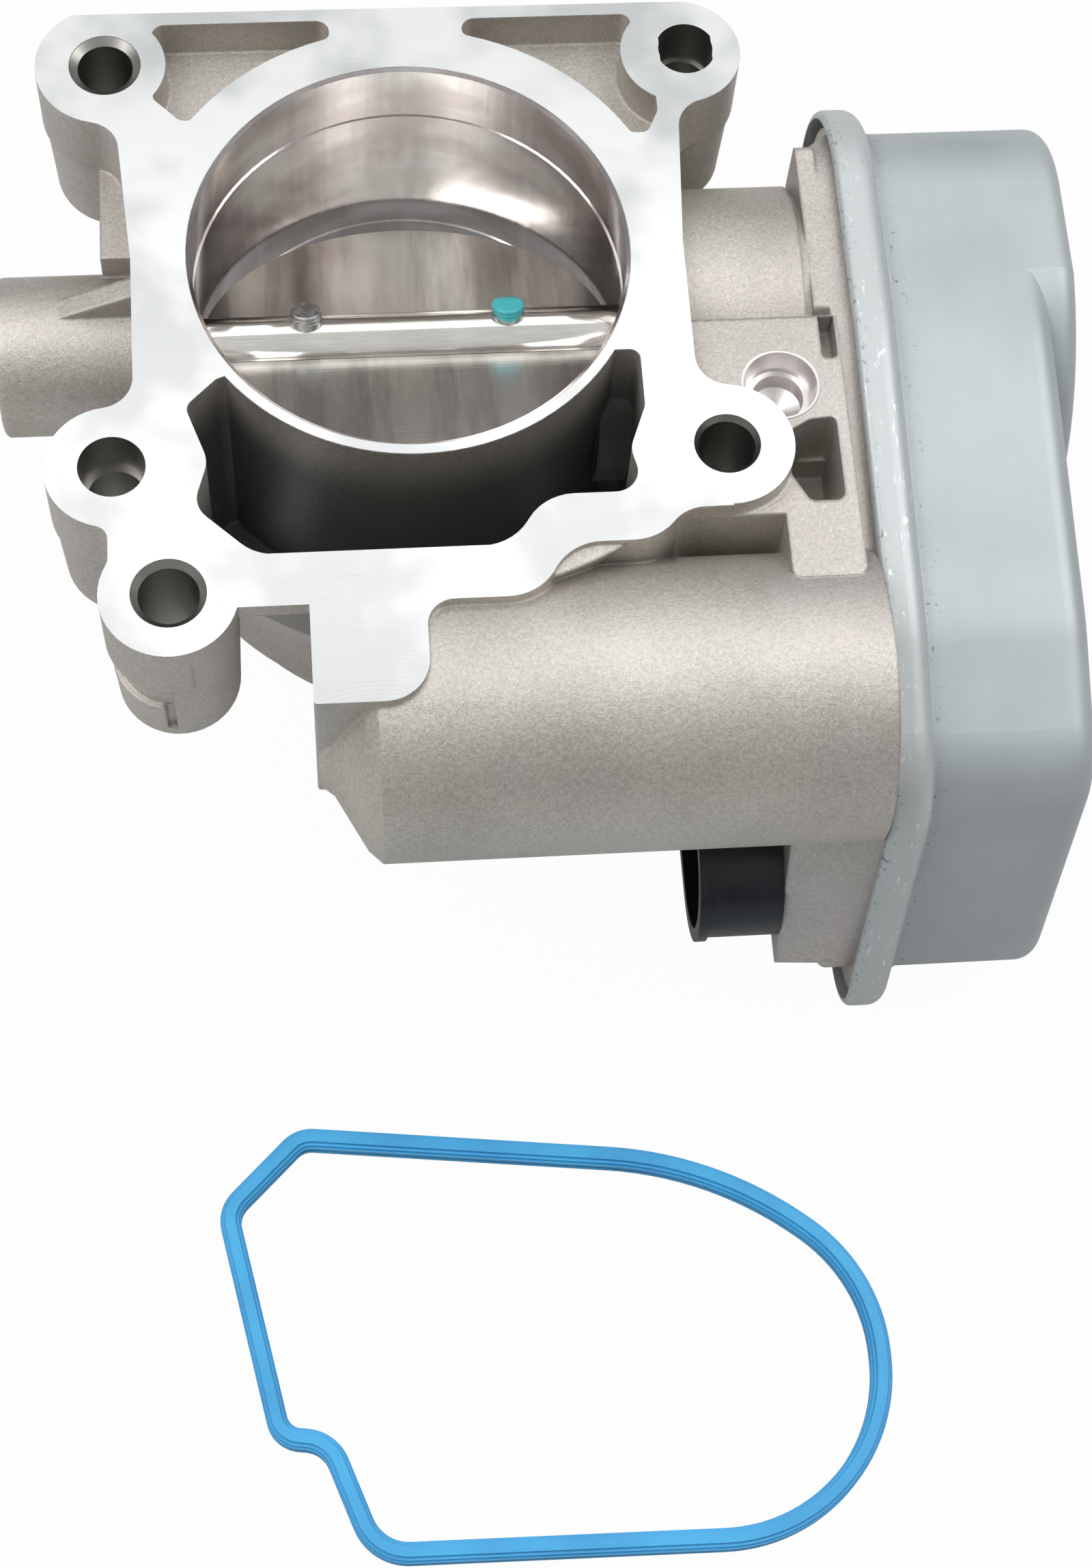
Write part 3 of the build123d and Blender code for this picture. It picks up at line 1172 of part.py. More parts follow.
def make_gasket():
    """Moulded gasket with two ribs on each side and a low crest."""
    layers = []
    for (low, half_width), (high, _) in zip(GASKET_LAYERS, GASKET_LAYERS[1:]):
        layers.append(Pos(0, 0, FLOOR_Z + low) * extrude(gasket_ring(half_width), amount=high - low))
    body = layers[0]
    for layer in layers[1:]:
        body += layer
    return body


NODES = {
    "throttle_housing": make_housing,
    "gear_cover": make_cover,
    "cover_seal": make_cover_seal,
    "connector_shroud": make_connector,
    "connector_terminals": make_terminals,
    "sensor_board": make_sensor_board,
    "throttle_shaft": make_shaft,
    "throttle_plate": make_plate,
    "plate_screws": make_plate_screws,
    "needle_bearing_cup": make_needle_cup,
    "bearing_needles": make_needles,
    "shaft_seals": make_shaft_seals,
    "shaft_end_plug": make_plug,
    "ball_bearing_outer": make_outer_race,
    "ball_bearing_inner": make_inner_race,
    "bearing_balls": make_balls,
    "return_spring": make_return_spring,
    "sector_gear": make_sector_gear,
    "shaft_nut": make_shaft_nut,
    "sensor_rotor": make_sensor_rotor,
    "sensor_magnets": make_sensor_magnets,
    "transfer_gear": make_transfer_gear,
    "idler_gear": make_idler_gear,
    "transfer_pin": lambda: make_gear_pin(TRANSFER_AXIS, SECTOR_X[1]),
    "idler_pin": lambda: make_gear_pin(IDLER_AXIS, IDLER_LARGE_X[1]),
    "motor_can": make_motor_can,
    "motor_magnets": make_motor_magnets,
    "motor_end_cap": make_motor_end_cap,
    "motor_brushes": make_brushes,
    "motor_bushes": make_motor_bushes,
    "motor_wave_spring": make_wave_spring,
    "motor_plate": make_motor_plate,
    "motor_screws": make_motor_screws,
    "motor_shaft": make_motor_shaft,
    "rotor_core": make_rotor_core,
    "rotor_windings": make_windings,
    "commutator": make_commutator,
    "motor_pinion": make_motor_pinion,
    "manifold_gasket": make_gasket,
}

os.makedirs("parts", exist_ok=True)
for name, make in NODES.items():
    export_step(make(), f"parts/{name}.step")
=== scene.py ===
"""Looks of a motor-driven throttle body: finishes, light and camera."""

import logging
import math
from dataclasses import dataclass, field
from enum import Enum
from typing import Protocol

import bpy
from mathutils import Matrix, Vector

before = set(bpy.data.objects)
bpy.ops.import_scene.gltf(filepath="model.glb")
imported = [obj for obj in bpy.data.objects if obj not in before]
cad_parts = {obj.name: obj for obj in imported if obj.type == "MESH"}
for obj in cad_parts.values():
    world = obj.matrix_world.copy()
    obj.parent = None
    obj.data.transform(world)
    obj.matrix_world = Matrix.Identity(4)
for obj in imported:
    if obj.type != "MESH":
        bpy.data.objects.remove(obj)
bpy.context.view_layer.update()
LOG = logging.getLogger("throttle_body")
MM = 0.001
EDGE_SAMPLES = 6

Number = float | int
Colour = tuple[float, float, float]
Point = tuple[float, float, float]
Span = tuple[float, float]

WHITE: Colour = (1.0, 1.0, 1.0)


class Lines(Enum):
    """Directions of the marks that working leaves on metal, as features per millimetre along x, y and z."""

    EVEN = (2.0, 2.0, 2.0)
    ALONG_X = (0.25, 4.0, 4.0)
    AROUND_X = (5.0, 0.2, 0.2)


# ---------------------------------------------------------------- node trees

class Value:
    """A number that changes over a surface, held in a shader socket."""

    def __init__(self, graph: "Graph", socket: bpy.types.NodeSocket) -> None:
        """Keep the socket and the graph that owns it."""
        self.graph = graph
        self.socket = socket

    def _join(self, operation: str, *terms: "Value | Number") -> "Value":
        """Add a Math node.

        Args:
            operation: The Math node's operation.
            terms: Its inputs, in order.

        Returns:
            The node's output.
        """
        settings = {"operation": operation}
        return self.graph.value(self.graph.node("ShaderNodeMath", settings, dict(enumerate(terms))))

    def __add__(self, other: "Value | Number") -> "Value":
        """Sum."""
        return self._join("ADD", self, other)

    __radd__ = __add__

    def __sub__(self, other: "Value | Number") -> "Value":
        """Difference."""
        return self._join("SUBTRACT", self, other)

    def __rsub__(self, other: "Value | Number") -> "Value":
        """Difference from a plain number."""
        return self._join("SUBTRACT", other, self)

    def __mul__(self, other: "Value | Number") -> "Value":
        """Product."""
        return self._join("MULTIPLY", self, other)

    __rmul__ = __mul__

    def sine(self) -> "Value":
        """Sine of an angle in radians."""
        return self._join("SINE", self)

    def root(self) -> "Value":
        """Square root."""
        return self._join("SQRT", self)

    def largest(self, other: "Value | Number") -> "Value":
        """The larger of two numbers."""
        return self._join("MAXIMUM", self, other)

    def smallest(self, other: "Value | Number") -> "Value":
        """The smaller of two numbers."""
        return self._join("MINIMUM", self, other)

    def rise(self, low: Number, high: Number) -> "Value":
        """Smooth step from 0 at low to 1 at high.

        Args:
            low: Where the step starts.
            high: Where the step ends; a high below low makes a falling step.

        Returns:
            The step.
        """
        if high < low:
            return 1 - self.rise(high, low)
        settings = {"interpolation_type": "SMOOTHSTEP"}
        inputs = {"Value": self, "From Min": low, "From Max": high}
        return self.graph.value(self.graph.node("ShaderNodeMapRange", settings, inputs), "Result")


class Graph:
    """A node tree under construction."""

    def __init__(self, tree: bpy.types.NodeTree) -> None:
        """Start with an empty tree."""
        tree.nodes.clear()
        self.tree = tree

    def node(self, kind: str, settings: dict[str, object] | None = None,
             inputs: dict[str | int, object] | None = None) -> bpy.types.Node:
        """Add any node.

        Args:
            kind: The node's type name.
            settings: Node properties, set before the sockets.
            inputs: Values or links of its sockets, by name or index.

        Returns:
            The new node.
        """
        made = self.tree.nodes.new(kind)
        for name, setting in (settings or {}).items():
            setattr(made, name, setting)
        for name, given in (inputs or {}).items():
            socket = made.inputs[name]
            if isinstance(given, Value):
                given = given.socket
            if isinstance(given, bpy.types.NodeSocket):
                self.tree.links.new(given, socket)
            elif isinstance(given, tuple) and socket.type == "RGBA":
                socket.default_value = (*given, 1.0)
            else:
                socket.default_value = given
        return made

    def value(self, node: bpy.types.Node, output: str | int = 0) -> Value:
        """A node's output as a number."""
        return Value(self, node.outputs[output])

    def split(self, vector: bpy.types.NodeSocket) -> tuple[Value, Value, Value]:
        """The x, y and z values of a vector."""
        parts = self.node("ShaderNodeSeparateXYZ", {}, {0: vector})
        return self.value(parts, 0), self.value(parts, 1), self.value(parts, 2)

    def mixed(self, share: Value, low: bpy.types.Node, high: bpy.types.Node) -> bpy.types.NodeSocket:
        """Mix two shaders.

        Args:
            share: 0 gives low and 1 gives high.
            low: A shader node.
            high: A shader node.

        Returns:
            The mixed shader.
        """
        made = self.node("ShaderNodeMixShader", {}, {0: share, 1: low.outputs[0], 2: high.outputs[0]})
        return made.outputs[0]


class Recipe(Graph):
    """One procedural material under construction."""

    def __init__(self, name: str) -> None:
        """Start an empty material.

        Args:
            name: Its name.
        """
        self.material = bpy.data.materials.new(name)
        self.material.use_nodes = True
        super().__init__(self.material.node_tree)
        self._place: bpy.types.Node | None = None

    def place_mm(self) -> bpy.types.NodeSocket:
        """Position vector on the part in millimetres.

        Returns:
            The vector, from one node that all textures of the material share.
        """
        if self._place is None:
            inputs = {0: self.node("ShaderNodeTexCoord").outputs["Object"], "Scale": 1.0 / MM}
            self._place = self.node("ShaderNodeVectorMath", {"operation": "SCALE"}, inputs)
        return self._place.outputs[0]

    def places(self) -> tuple[Value, Value, Value]:
        """The x, y and z values of the position on the part in millimetres."""
        return self.split(self.place_mm())

    def facing_up(self) -> Value:
        """1 where the surface faces +z, 0 on walls and -1 on undersides."""
        return self.split(self.node("ShaderNodeTexCoord").outputs["Normal"])[2]

    def stretched(self, factors: Point) -> bpy.types.NodeSocket:
        """Position in millimetres, scaled differently on each axis."""
        inputs = {0: self.place_mm(), 1: factors}
        return self.node("ShaderNodeVectorMath", {"operation": "MULTIPLY"}, inputs).outputs[0]

    def noise(self, scale: float, detail: float = 2.0, rough: float = 0.5,
              where: bpy.types.NodeSocket | None = None) -> Value:
        """Smooth noise.

        Args:
            scale: Features per millimetre.
            detail: Number of finer layers.
            rough: Strength of the finer layers.
            where: Position vector in millimetres; the surface's own place by default.

        Returns:
            Noise around 0.5.
        """
        inputs = {"Vector": where or self.place_mm(), "Scale": scale, "Detail": detail, "Roughness": rough}
        return self.value(self.node("ShaderNodeTexNoise", {}, inputs))

    def streaks(self, density: Point, detail: float = 2.0, rough: float = 0.6) -> Value:
        """Noise drawn out along one or two axes.

        Args:
            density: Features per millimetre along x, y and z.
            detail: Number of finer layers.
            rough: Strength of the finer layers.

        Returns:
            Noise around 0.5.
        """
        return self.noise(1.0, detail, rough, self.stretched(density))

    def cells(self, scale: float) -> Value:
        """Distance to scattered points, scale of them per millimetre."""
        inputs = {"Vector": self.place_mm(), "Scale": scale}
        return self.value(self.node("ShaderNodeTexVoronoi", {}, inputs), "Distance")

    def blend(self, share: Value | Number, low: object, high: object) -> bpy.types.NodeSocket:
        """Mix two colours.

        Args:
            share: 0 gives low and 1 gives high.
            low: A colour or a colour socket.
            high: A colour or a colour socket.

        Returns:
            The mixed colour.
        """
        return self.node("ShaderNodeMix", {"data_type": "RGBA"}, {0: share, 6: low, 7: high}).outputs[2]

    def soft_edges(self, radius_mm: float, sharp: Value | Number) -> bpy.types.NodeSocket:
        """Normal that rounds the edges.

        Args:
            radius_mm: Radius of the rounding in millimetres.
            sharp: 1 where the edges stay sharp.

        Returns:
            The changed normal.
        """
        rounded = self.node("ShaderNodeBevel", {"samples": EDGE_SAMPLES}, {"Radius": radius_mm * MM})
        plain = self.node("ShaderNodeNewGeometry")
        links = {0: sharp, 4: rounded.outputs[0], 5: plain.outputs["Normal"]}
        return self.node("ShaderNodeMix", {"data_type": "VECTOR"}, links).outputs[1]

    def bump(self, height: Value, depth_mm: float,
             normal: bpy.types.NodeSocket | None = None) -> bpy.types.NodeSocket:
        """Relief.

        Args:
            height: Relief between 0 and 1.
            depth_mm: Depth of the relief in millimetres.
            normal: Normal under the relief, if it isn't the surface's own.

        Returns:
            The changed normal.
        """
        inputs: dict[str | int, object] = {"Height": height, "Distance": depth_mm * MM, "Strength": 1.0}
        if normal is not None:
            inputs["Normal"] = normal
        return self.node("ShaderNodeBump", {}, inputs).outputs[0]

    def closed(self, shader: bpy.types.NodeSocket) -> bpy.types.Material:
        """Close the material with a shader."""
        self.node("ShaderNodeOutputMaterial", {}, {0: shader})
        return self.material

    def finish(self, base: bpy.types.NodeSocket, roughness: Value, metallic: Value | Number,
               normal: bpy.types.NodeSocket, fixed: dict[str, float] | None = None) -> bpy.types.Material:
        """Close the material with the usual surface.

        Args:
            base: Base colour.
            roughness: Roughness.
            metallic: Metallic number or value.
            normal: Normal with the relief.
            fixed: Further shader sockets that hold plain numbers.

        Returns:
            The finished material.
        """
        inputs = {"Base Color": base, "Roughness": roughness, "Metallic": metallic, "Normal": normal}
        shader = self.node("ShaderNodeBsdfPrincipled", {}, {**inputs, **(fixed or {})})
        return self.closed(shader.outputs[0])


# ---------------------------------------------------------------- finishes

class Finish(Protocol):
    """Anything that makes a material."""

    def material(self) -> bpy.types.Material:
        """Build the material."""
        ...


@dataclass(frozen=True)
class Hole:
    """Place of a drilled hole and the reach of its walls, in millimetres."""

    x: float
    y: float
    reach: float

    def mask(self, recipe: Recipe) -> Value:
        """1 on the walls of the hole, below the face.

        Args:
            recipe: The material.

        Returns:
            The mask.
        """
        x, y, z = recipe.places()
        across = x - self.x
        along = y - self.y
        near = (across * across + along * along).root().rise(self.reach + 0.25, self.reach + 0.05)
        return near * z.rise(-0.02, -0.1)


@dataclass(frozen=True)
class Pocket:
    """Spans of the deep pocket beside the bore, in millimetres, where painted shade darkens the casting."""

    x: Span = (-37.0, 37.0)
    y: Span = (-51.0, -12.0)
    deep_z: float = -15.0
    low_z: float = -46.0

    def mask(self, recipe: Recipe) -> Value:
        """1 low on the walls and on the floor of the pocket, where shade is painted into the colour.

        Args:
            recipe: The material.

        Returns:
            The mask.
        """
        x, y, z = recipe.places()
        inside = x.rise(self.x[0], self.x[0] + 1.0) * x.rise(self.x[1], self.x[1] - 1.0)
        inside = inside * y.rise(self.y[0], self.y[0] + 1.0) * y.rise(self.y[1], self.y[1] - 2.0)
        depth = z.rise(-1.0, self.deep_z) * z.rise(self.low_z, self.low_z + 1.0)
        return inside * depth * recipe.facing_up().rise(-0.5, -0.2)


@dataclass
class CastLayers:
    """Masks and textures that the casting's colour, gloss and relief share."""

    milled: Value
    bore: Value
    spot: Value
    holes: Value
    cut: Value
    grit: Value
    sand: Value
    patch: Value
    scratch: Value
    streak: Value


@dataclass(frozen=True)
class CastBody:
    """Sand-cast aluminium with a milled face, a honed bore and drilled holes."""

    bore_mm: float = 33.4
    edge_mm: float = 0.9
    grain_mm: float = 0.13
    cast_roughness: float = 0.44
    face_roughness: float = 0.16
    wall_roughness: float = 0.08
    hole_roughness: float = 0.34
    # painted shade for the low walls and floor of the pocket beside the bore
    painted_pocket_shade: Colour = (0.17, 0.17, 0.165)
    cast_dark: Colour = (0.43, 0.405, 0.365)
    cast_light: Colour = (0.68, 0.65, 0.595)
    cast_rosy: Colour = (0.65, 0.605, 0.585)
    # colour of the face's scratches and of the bright specks painted as glints on the casting
    scratch_and_painted_glint: Colour = (0.80, 0.78, 0.74)
    # light and grey of the milled face; the blend between them holds random patches and a painted reflection
    milled: Colour = (0.85, 0.865, 0.86)
    milled_grey: Colour = (0.44, 0.455, 0.455)
    # light and brown of the bore's painted reflection bands; the brown is partly the wall's own tint
    honed: Colour = (0.90, 0.875, 0.86)
    honed_brown: Colour = (0.60, 0.54, 0.525)
    # drilled: screw-hole walls darkened by painted shade inside the holes; spot_faced: the lighter machined
    # wall of the side hole
    drilled: Colour = (0.36, 0.35, 0.33)
    spot_faced: Colour = (0.74, 0.71, 0.70)
    cloud_scale: float = 0.04
    hue_scale: float = 0.022
    grit_scale: float = 1.6
    sand_scale: float = 4.6
    # features per millimetre of the painted glints
    painted_glint_scale: float = 2.6
    patch_scale: float = 0.035
    scratches_x: Point = (0.06, 2.2, 0.2)
    scratches_y: Point = (1.9, 0.08, 0.2)
    # painted reflection bands and vertical streaks in the bore's colour; the streaks also vary its roughness,
    # and the rings shape its relief
    bore_reflection_stripes: Point = (0.045, 0.045, 0.09)
    bore_streaks: Point = (0.5, 0.5, 0.02)
    bore_rings: Point = (0.03, 0.03, 3.2)
    cutter_x: float = -8.0
    cutter_y: float = -96.0
    cutter_pitch: float = 9.0
    # the pocket whose low walls and floor get painted shade
    pocket: Pocket = Pocket()
    screw_holes: tuple[Hole, ...] = (
        Hole(-44.46, 34.87, 5.7), Hole(44.46, 34.87, 4.9), Hole(44.46, -34.87, 5.1),
        Hole(-44.46, -34.87, 5.1), Hole(-36.8, -55.5, 5.7),
    )
    spot_hole: Hole = Hole(53.7, -23.6, 5.7)

    def _bore_mask(self, recipe: Recipe) -> Value:
        """1 on the wall of the bore.

        Args:
            recipe: The material.

        Returns:
            The mask.
        """
        x, y, z = recipe.places()
        radius = (x * x + y * y).root()
        return radius.rise(self.bore_mm, self.bore_mm - 0.2) * z.rise(-0.02, -0.1)

    def _scratches(self, recipe: Recipe) -> Value:
        """Sparse fine scratches in two directions."""
        first = recipe.streaks(self.scratches_x).rise(0.67, 0.75)
        return first.largest(recipe.streaks(self.scratches_y).rise(0.68, 0.76))

    def _layers(self, recipe: Recipe) -> CastLayers:
        """Masks and textures of the casting.

        Args:
            recipe: The material.

        Returns:
            The layers.
        """
        milled = recipe.places()[2].rise(-0.12, -0.04) * recipe.facing_up().rise(0.8, 0.95)
        bore = self._bore_mask(recipe)
        spot = self.spot_hole.mask(recipe)
        holes = spot
        for hole in self.screw_holes:
            holes = holes.largest(hole.mask(recipe))
        return CastLayers(
            milled=milled, bore=bore, spot=spot, holes=holes, cut=milled.largest(bore).largest(holes),
            grit=recipe.noise(self.grit_scale, 3.0, 0.6), sand=recipe.noise(self.sand_scale, 2.0, 0.7),
            patch=recipe.noise(self.patch_scale, 3.0, 0.55), scratch=self._scratches(recipe),
            streak=recipe.streaks(self.bore_streaks, 3.0),
        )

    def _cast_colour(self, recipe: Recipe, layers: CastLayers) -> bpy.types.NodeSocket:
        """Colour of the rough casting, with painted shade low in the pocket and painted glints.

        Args:
            recipe: The material.
            layers: Its masks and textures.

        Returns:
            The colour.
        """
        cloud = recipe.noise(self.cloud_scale)
        shade = (cloud * 0.25 + layers.grit * 0.3 + layers.sand * 0.45).rise(0.36, 0.64)
        hue = recipe.noise(self.hue_scale).rise(0.40, 0.60)
        colour = recipe.blend(shade, self.cast_dark, recipe.blend(hue, self.cast_light, self.cast_rosy))
        # painted shade: the casting darkens low on the pocket's walls and floor
        colour = recipe.blend(self.pocket.mask(recipe) * 0.85, colour, self.painted_pocket_shade)
        # painted glints: scattered bright specks mixed into the casting's colour
        painted_glint = recipe.cells(self.painted_glint_scale).rise(0.15, 0.04)
        return recipe.blend(painted_glint * 0.5, colour, self.scratch_and_painted_glint)

    def _face_colour(self, recipe: Recipe, layers: CastLayers) -> bpy.types.NodeSocket:
        """Colour of the milled face: random grey patches, and a painted reflection that grows brighter
        towards the motor's side.

        Args:
            recipe: The material.
            layers: Its masks and textures.

        Returns:
            The colour.
        """
        # random grey patches, plus a painted reflection that brightens the face towards the motor's side
        bright = layers.patch.rise(0.38, 0.58) * 0.6 + recipe.places()[1].rise(45.0, -45.0) * 0.5
        colour = recipe.blend(bright.smallest(1.0), self.milled_grey, self.milled)
        return recipe.blend(layers.scratch * 0.35, colour, self.scratch_and_painted_glint)

    def _colour(self, recipe: Recipe, layers: CastLayers) -> bpy.types.NodeSocket:
        """Colour of the whole body.

        Args:
            recipe: The material.
            layers: Its masks and textures.

        Returns:
            The colour.
        """
        # painted reflections: light and brown bands down the bore with fine vertical streaks, over the wall's
        # brownish tint
        reflection_band = recipe.streaks(self.bore_reflection_stripes, 2.0, 0.5)
        wall_reflection_share = (reflection_band * 0.85 + layers.streak * 0.15).rise(0.36, 0.62)
        wall = recipe.blend(wall_reflection_share, self.honed_brown, self.honed)
        colour = recipe.blend(layers.milled, self._cast_colour(recipe, layers),
                              self._face_colour(recipe, layers))
        colour = recipe.blend(layers.bore, colour, wall)
        # painted shade inside the screw holes: their walls darker than the machined metal
        return recipe.blend(layers.holes, colour, recipe.blend(layers.spot, self.drilled, self.spot_faced))

    def _roughness(self, layers: CastLayers) -> Value:
        """Roughness of the whole body.

        Args:
            layers: The masks and textures.

        Returns:
            The roughness.
        """
        cast = self.cast_roughness + layers.grit * 0.16
        face = self.face_roughness + layers.patch.rise(0.35, 0.65) * 0.2 + layers.scratch * 0.1
        wall = self.wall_roughness + layers.streak * 0.1
        drilled = layers.holes * self.hole_roughness
        return cast * (1 - layers.cut) + face * layers.milled + wall * layers.bore + drilled

    def _cutter_arcs(self, recipe: Recipe) -> Value:
        """Arcs left by a large face cutter.

        Args:
            recipe: The material.

        Returns:
            A wave between 0 and 1.
        """
        x, y, _ = recipe.places()
        across = x - self.cutter_x
        along = y - self.cutter_y
        waver = recipe.noise(0.05, 1.0) * 6.0
        return ((across * across + along * along).root() * self.cutter_pitch + waver).sine() * 0.5 + 0.5

    def _relief(self, recipe: Recipe, layers: CastLayers) -> Value:
        """Relief of the whole body.

        Args:
            recipe: The material.
            layers: Its masks and textures.

        Returns:
            The height, as a share of the grain's depth.
        """
        cast = (layers.grit * 0.45 + layers.sand * 0.35) * (1 - layers.cut)
        face = (self._cutter_arcs(recipe) * 0.008 + layers.scratch * 0.03) * layers.milled
        return cast + face + recipe.streaks(self.bore_rings) * layers.bore * 0.045

    def material(self) -> bpy.types.Material:
        """Build the material.

        Returns:
            The finished material.
        """
        recipe = Recipe("cast_body")
        layers = self._layers(recipe)
        edges = recipe.soft_edges(self.edge_mm, layers.cut)
        normal = recipe.bump(self._relief(recipe, layers), self.grain_mm, edges)
        metallic = 0.80 + layers.cut * 0.2
        return recipe.finish(self._colour(recipe, layers), self._roughness(layers), metallic, normal)


@dataclass(frozen=True)
class CoatedCover:
    """Drawn metal with a thin blue-grey coat, worn bright on the bead."""

    bead_start_x: float = 66.2
    bead_end_x: float = 72.6
    coat: Colour = (0.43, 0.475, 0.49)
    coat_dark: Colour = (0.375, 0.415, 0.435)
    bead: Colour = (0.52, 0.555, 0.555)
    bare: Colour = (0.78, 0.78, 0.76)
    # near-black of the dark specks
    dark_specks: Colour = (0.075, 0.08, 0.08)
    cloud_scale: float = 0.05
    pit_scale: float = 0.9
    grain_scale: float = 5.0
    grain_mm: float = 0.02
    roughness: float = 0.38
    drawn_lines: Point = (0.30, 0.012, 0.012)
    scuffs: Point = (1.2, 0.35, 0.35)

    def material(self) -> bpy.types.Material:
        """Build the material.

        Returns:
            The finished material.
        """
        recipe = Recipe("coated_cover")
        x, _, _ = recipe.places()
        on_bead = x.rise(self.bead_end_x + 0.9, self.bead_end_x - 0.6)
        near_bead = x.rise(self.bead_end_x + 4.0, self.bead_end_x + 0.8) * (1 - on_bead)
        lip_foot = x.rise(self.bead_start_x + 2.0, self.bead_start_x)
        cloud = recipe.noise(self.cloud_scale, 3.0)
        drawn = recipe.streaks(self.drawn_lines, 2.0, 0.5)
        colour = recipe.blend((cloud * 0.86 + drawn * 0.14).rise(0.30, 0.70), self.coat_dark, self.coat)
        colour = recipe.blend(on_bead * 0.8, colour, self.bead)
        pits = recipe.noise(self.pit_scale, 4.0, 0.75)
        worn = recipe.streaks(self.scuffs, 4.0, 0.7).rise(0.60, 0.68) * on_bead
        # dark specks just beyond the bead, and a darker speckled band along the lip's foot
        dark_specks = pits.rise(0.60, 0.67) * near_bead + pits.rise(0.56, 0.66) * lip_foot * 0.8
        colour = recipe.blend(worn * 0.8, colour, self.bare)
        colour = recipe.blend(dark_specks.smallest(0.75), colour, self.dark_specks)
        grain = recipe.noise(self.grain_scale)
        roughness = self.roughness + cloud * 0.1 + grain * 0.04 - worn * 0.12
        relief = recipe.bump(grain * 0.3 + worn * 0.4 + pits * on_bead * 0.6, self.grain_mm)
        fixed = {"Coat Weight": 0.12, "Coat Roughness": 0.3}
        return recipe.finish(colour, roughness, 0.3 + worn * 0.6, relief, fixed)


@dataclass(frozen=True)
class Metal:
    """Plain worked metal with fine marks along one direction."""

    name: str
    light: Colour
    dark: Colour
    roughness: float = 0.3
    lines: Lines = Lines.EVEN
    line_depth_mm: float = 0.01
    cloud_scale: float = 0.12

    def material(self) -> bpy.types.Material:
        """Build the material.

        Returns:
            The finished material.
        """
        recipe = Recipe(self.name)
        line = recipe.streaks(self.lines.value, 3.0)
        share = (recipe.noise(self.cloud_scale, 3.0) * 0.5 + line * 0.5).rise(0.35, 0.65)
        colour = recipe.blend(share, self.dark, self.light)
        roughness = self.roughness - 0.05 + line * 0.1
        return recipe.finish(colour, roughness, 1.0, recipe.bump(line, self.line_depth_mm))


@dataclass(frozen=True)
class Moulded:
    """Moulded plastic or rubber with a fine satin grain."""

    name: str
    light: Colour
    dark: Colour
    roughness: float = 0.45
    grain: float = 6.0
    depth_mm: float = 0.01
    coat: float = 0.0
    specular: float = 0.5
    cloud_scale: float = 0.15

    def material(self) -> bpy.types.Material:
        """Build the material.

        Returns:
            The finished material.
        """
        recipe = Recipe(self.name)
        grain = recipe.noise(self.grain)
        colour = recipe.blend(recipe.noise(self.cloud_scale, 3.0).rise(0.35, 0.65), self.dark, self.light)
        roughness = self.roughness - 0.04 + grain * 0.08
        fixed = {"Coat Weight": self.coat, "Specular IOR Level": self.specular}
        return recipe.finish(colour, roughness, 0.0, recipe.bump(grain, self.depth_mm), fixed)


@dataclass(frozen=True)
class ValvePlate:
    """Satin plate rubbed along x, with soft bands of painted reflection across it."""

    light: Colour = (0.92, 0.905, 0.865)
    dark: Colour = (0.62, 0.61, 0.585)
    rub_lines: Point = (0.05, 4.0, 4.0)
    # soft bands of painted reflection, long along y, with fine flecks along them
    bands: Point = (0.10, 0.006, 0.006)
    flecks: Point = (0.9, 0.10, 0.10)
    rub_mm: float = 0.016
    roughness: float = 0.16

    def material(self) -> bpy.types.Material:
        """Build the material.

        Returns:
            The finished material.
        """
        recipe = Recipe("valve_plate")
        # painted reflections: light and dark bands long along y, with fine flecks
        reflection_band = recipe.streaks(self.bands, 2.0, 0.5)
        fleck = recipe.streaks(self.flecks, 3.0)
        colour = recipe.blend((reflection_band * 0.8 + fleck * 0.2).rise(0.38, 0.62), self.dark, self.light)
        roughness = self.roughness + reflection_band * 0.1 + fleck * 0.05
        return recipe.finish(colour, roughness, 1.0, recipe.bump(recipe.streaks(self.rub_lines), self.rub_mm))


@dataclass(frozen=True)
class ScrewSteel:
    """Zinc-coated screw steel; one tip carries a dab of thread-lock paint."""

    paint: Colour = (0.05, 0.42, 0.45)
    light: Colour = (0.46, 0.47, 0.46)
    dark: Colour = (0.28, 0.28, 0.28)
    dab_start_x: float = 8.0
    dab_low_z: float = -21.2
    cloud_scale: float = 0.8
    edge_scale: float = 0.5
    relief_mm: float = 0.05
    roughness: float = 0.4

    def material(self) -> bpy.types.Material:
        """Build the material.

        Returns:
            The finished material.
        """
        recipe = Recipe("screw_steel")
        x, _, z = recipe.places()
        cloud = recipe.noise(self.cloud_scale, 3.0)
        spread = (cloud + recipe.noise(self.edge_scale, 1.0) * 0.5).rise(0.50, 0.56)
        along = x.rise(self.dab_start_x, self.dab_start_x + 1.0)
        above = z.rise(self.dab_low_z, self.dab_low_z + 0.6)
        dab = along * above * spread
        colour = recipe.blend(dab, recipe.blend(cloud.rise(0.35, 0.65), self.dark, self.light), self.paint)
        roughness = self.roughness + cloud * 0.1 - dab * 0.1
        return recipe.finish(colour, roughness, 1 - dab, recipe.bump(cloud, self.relief_mm))


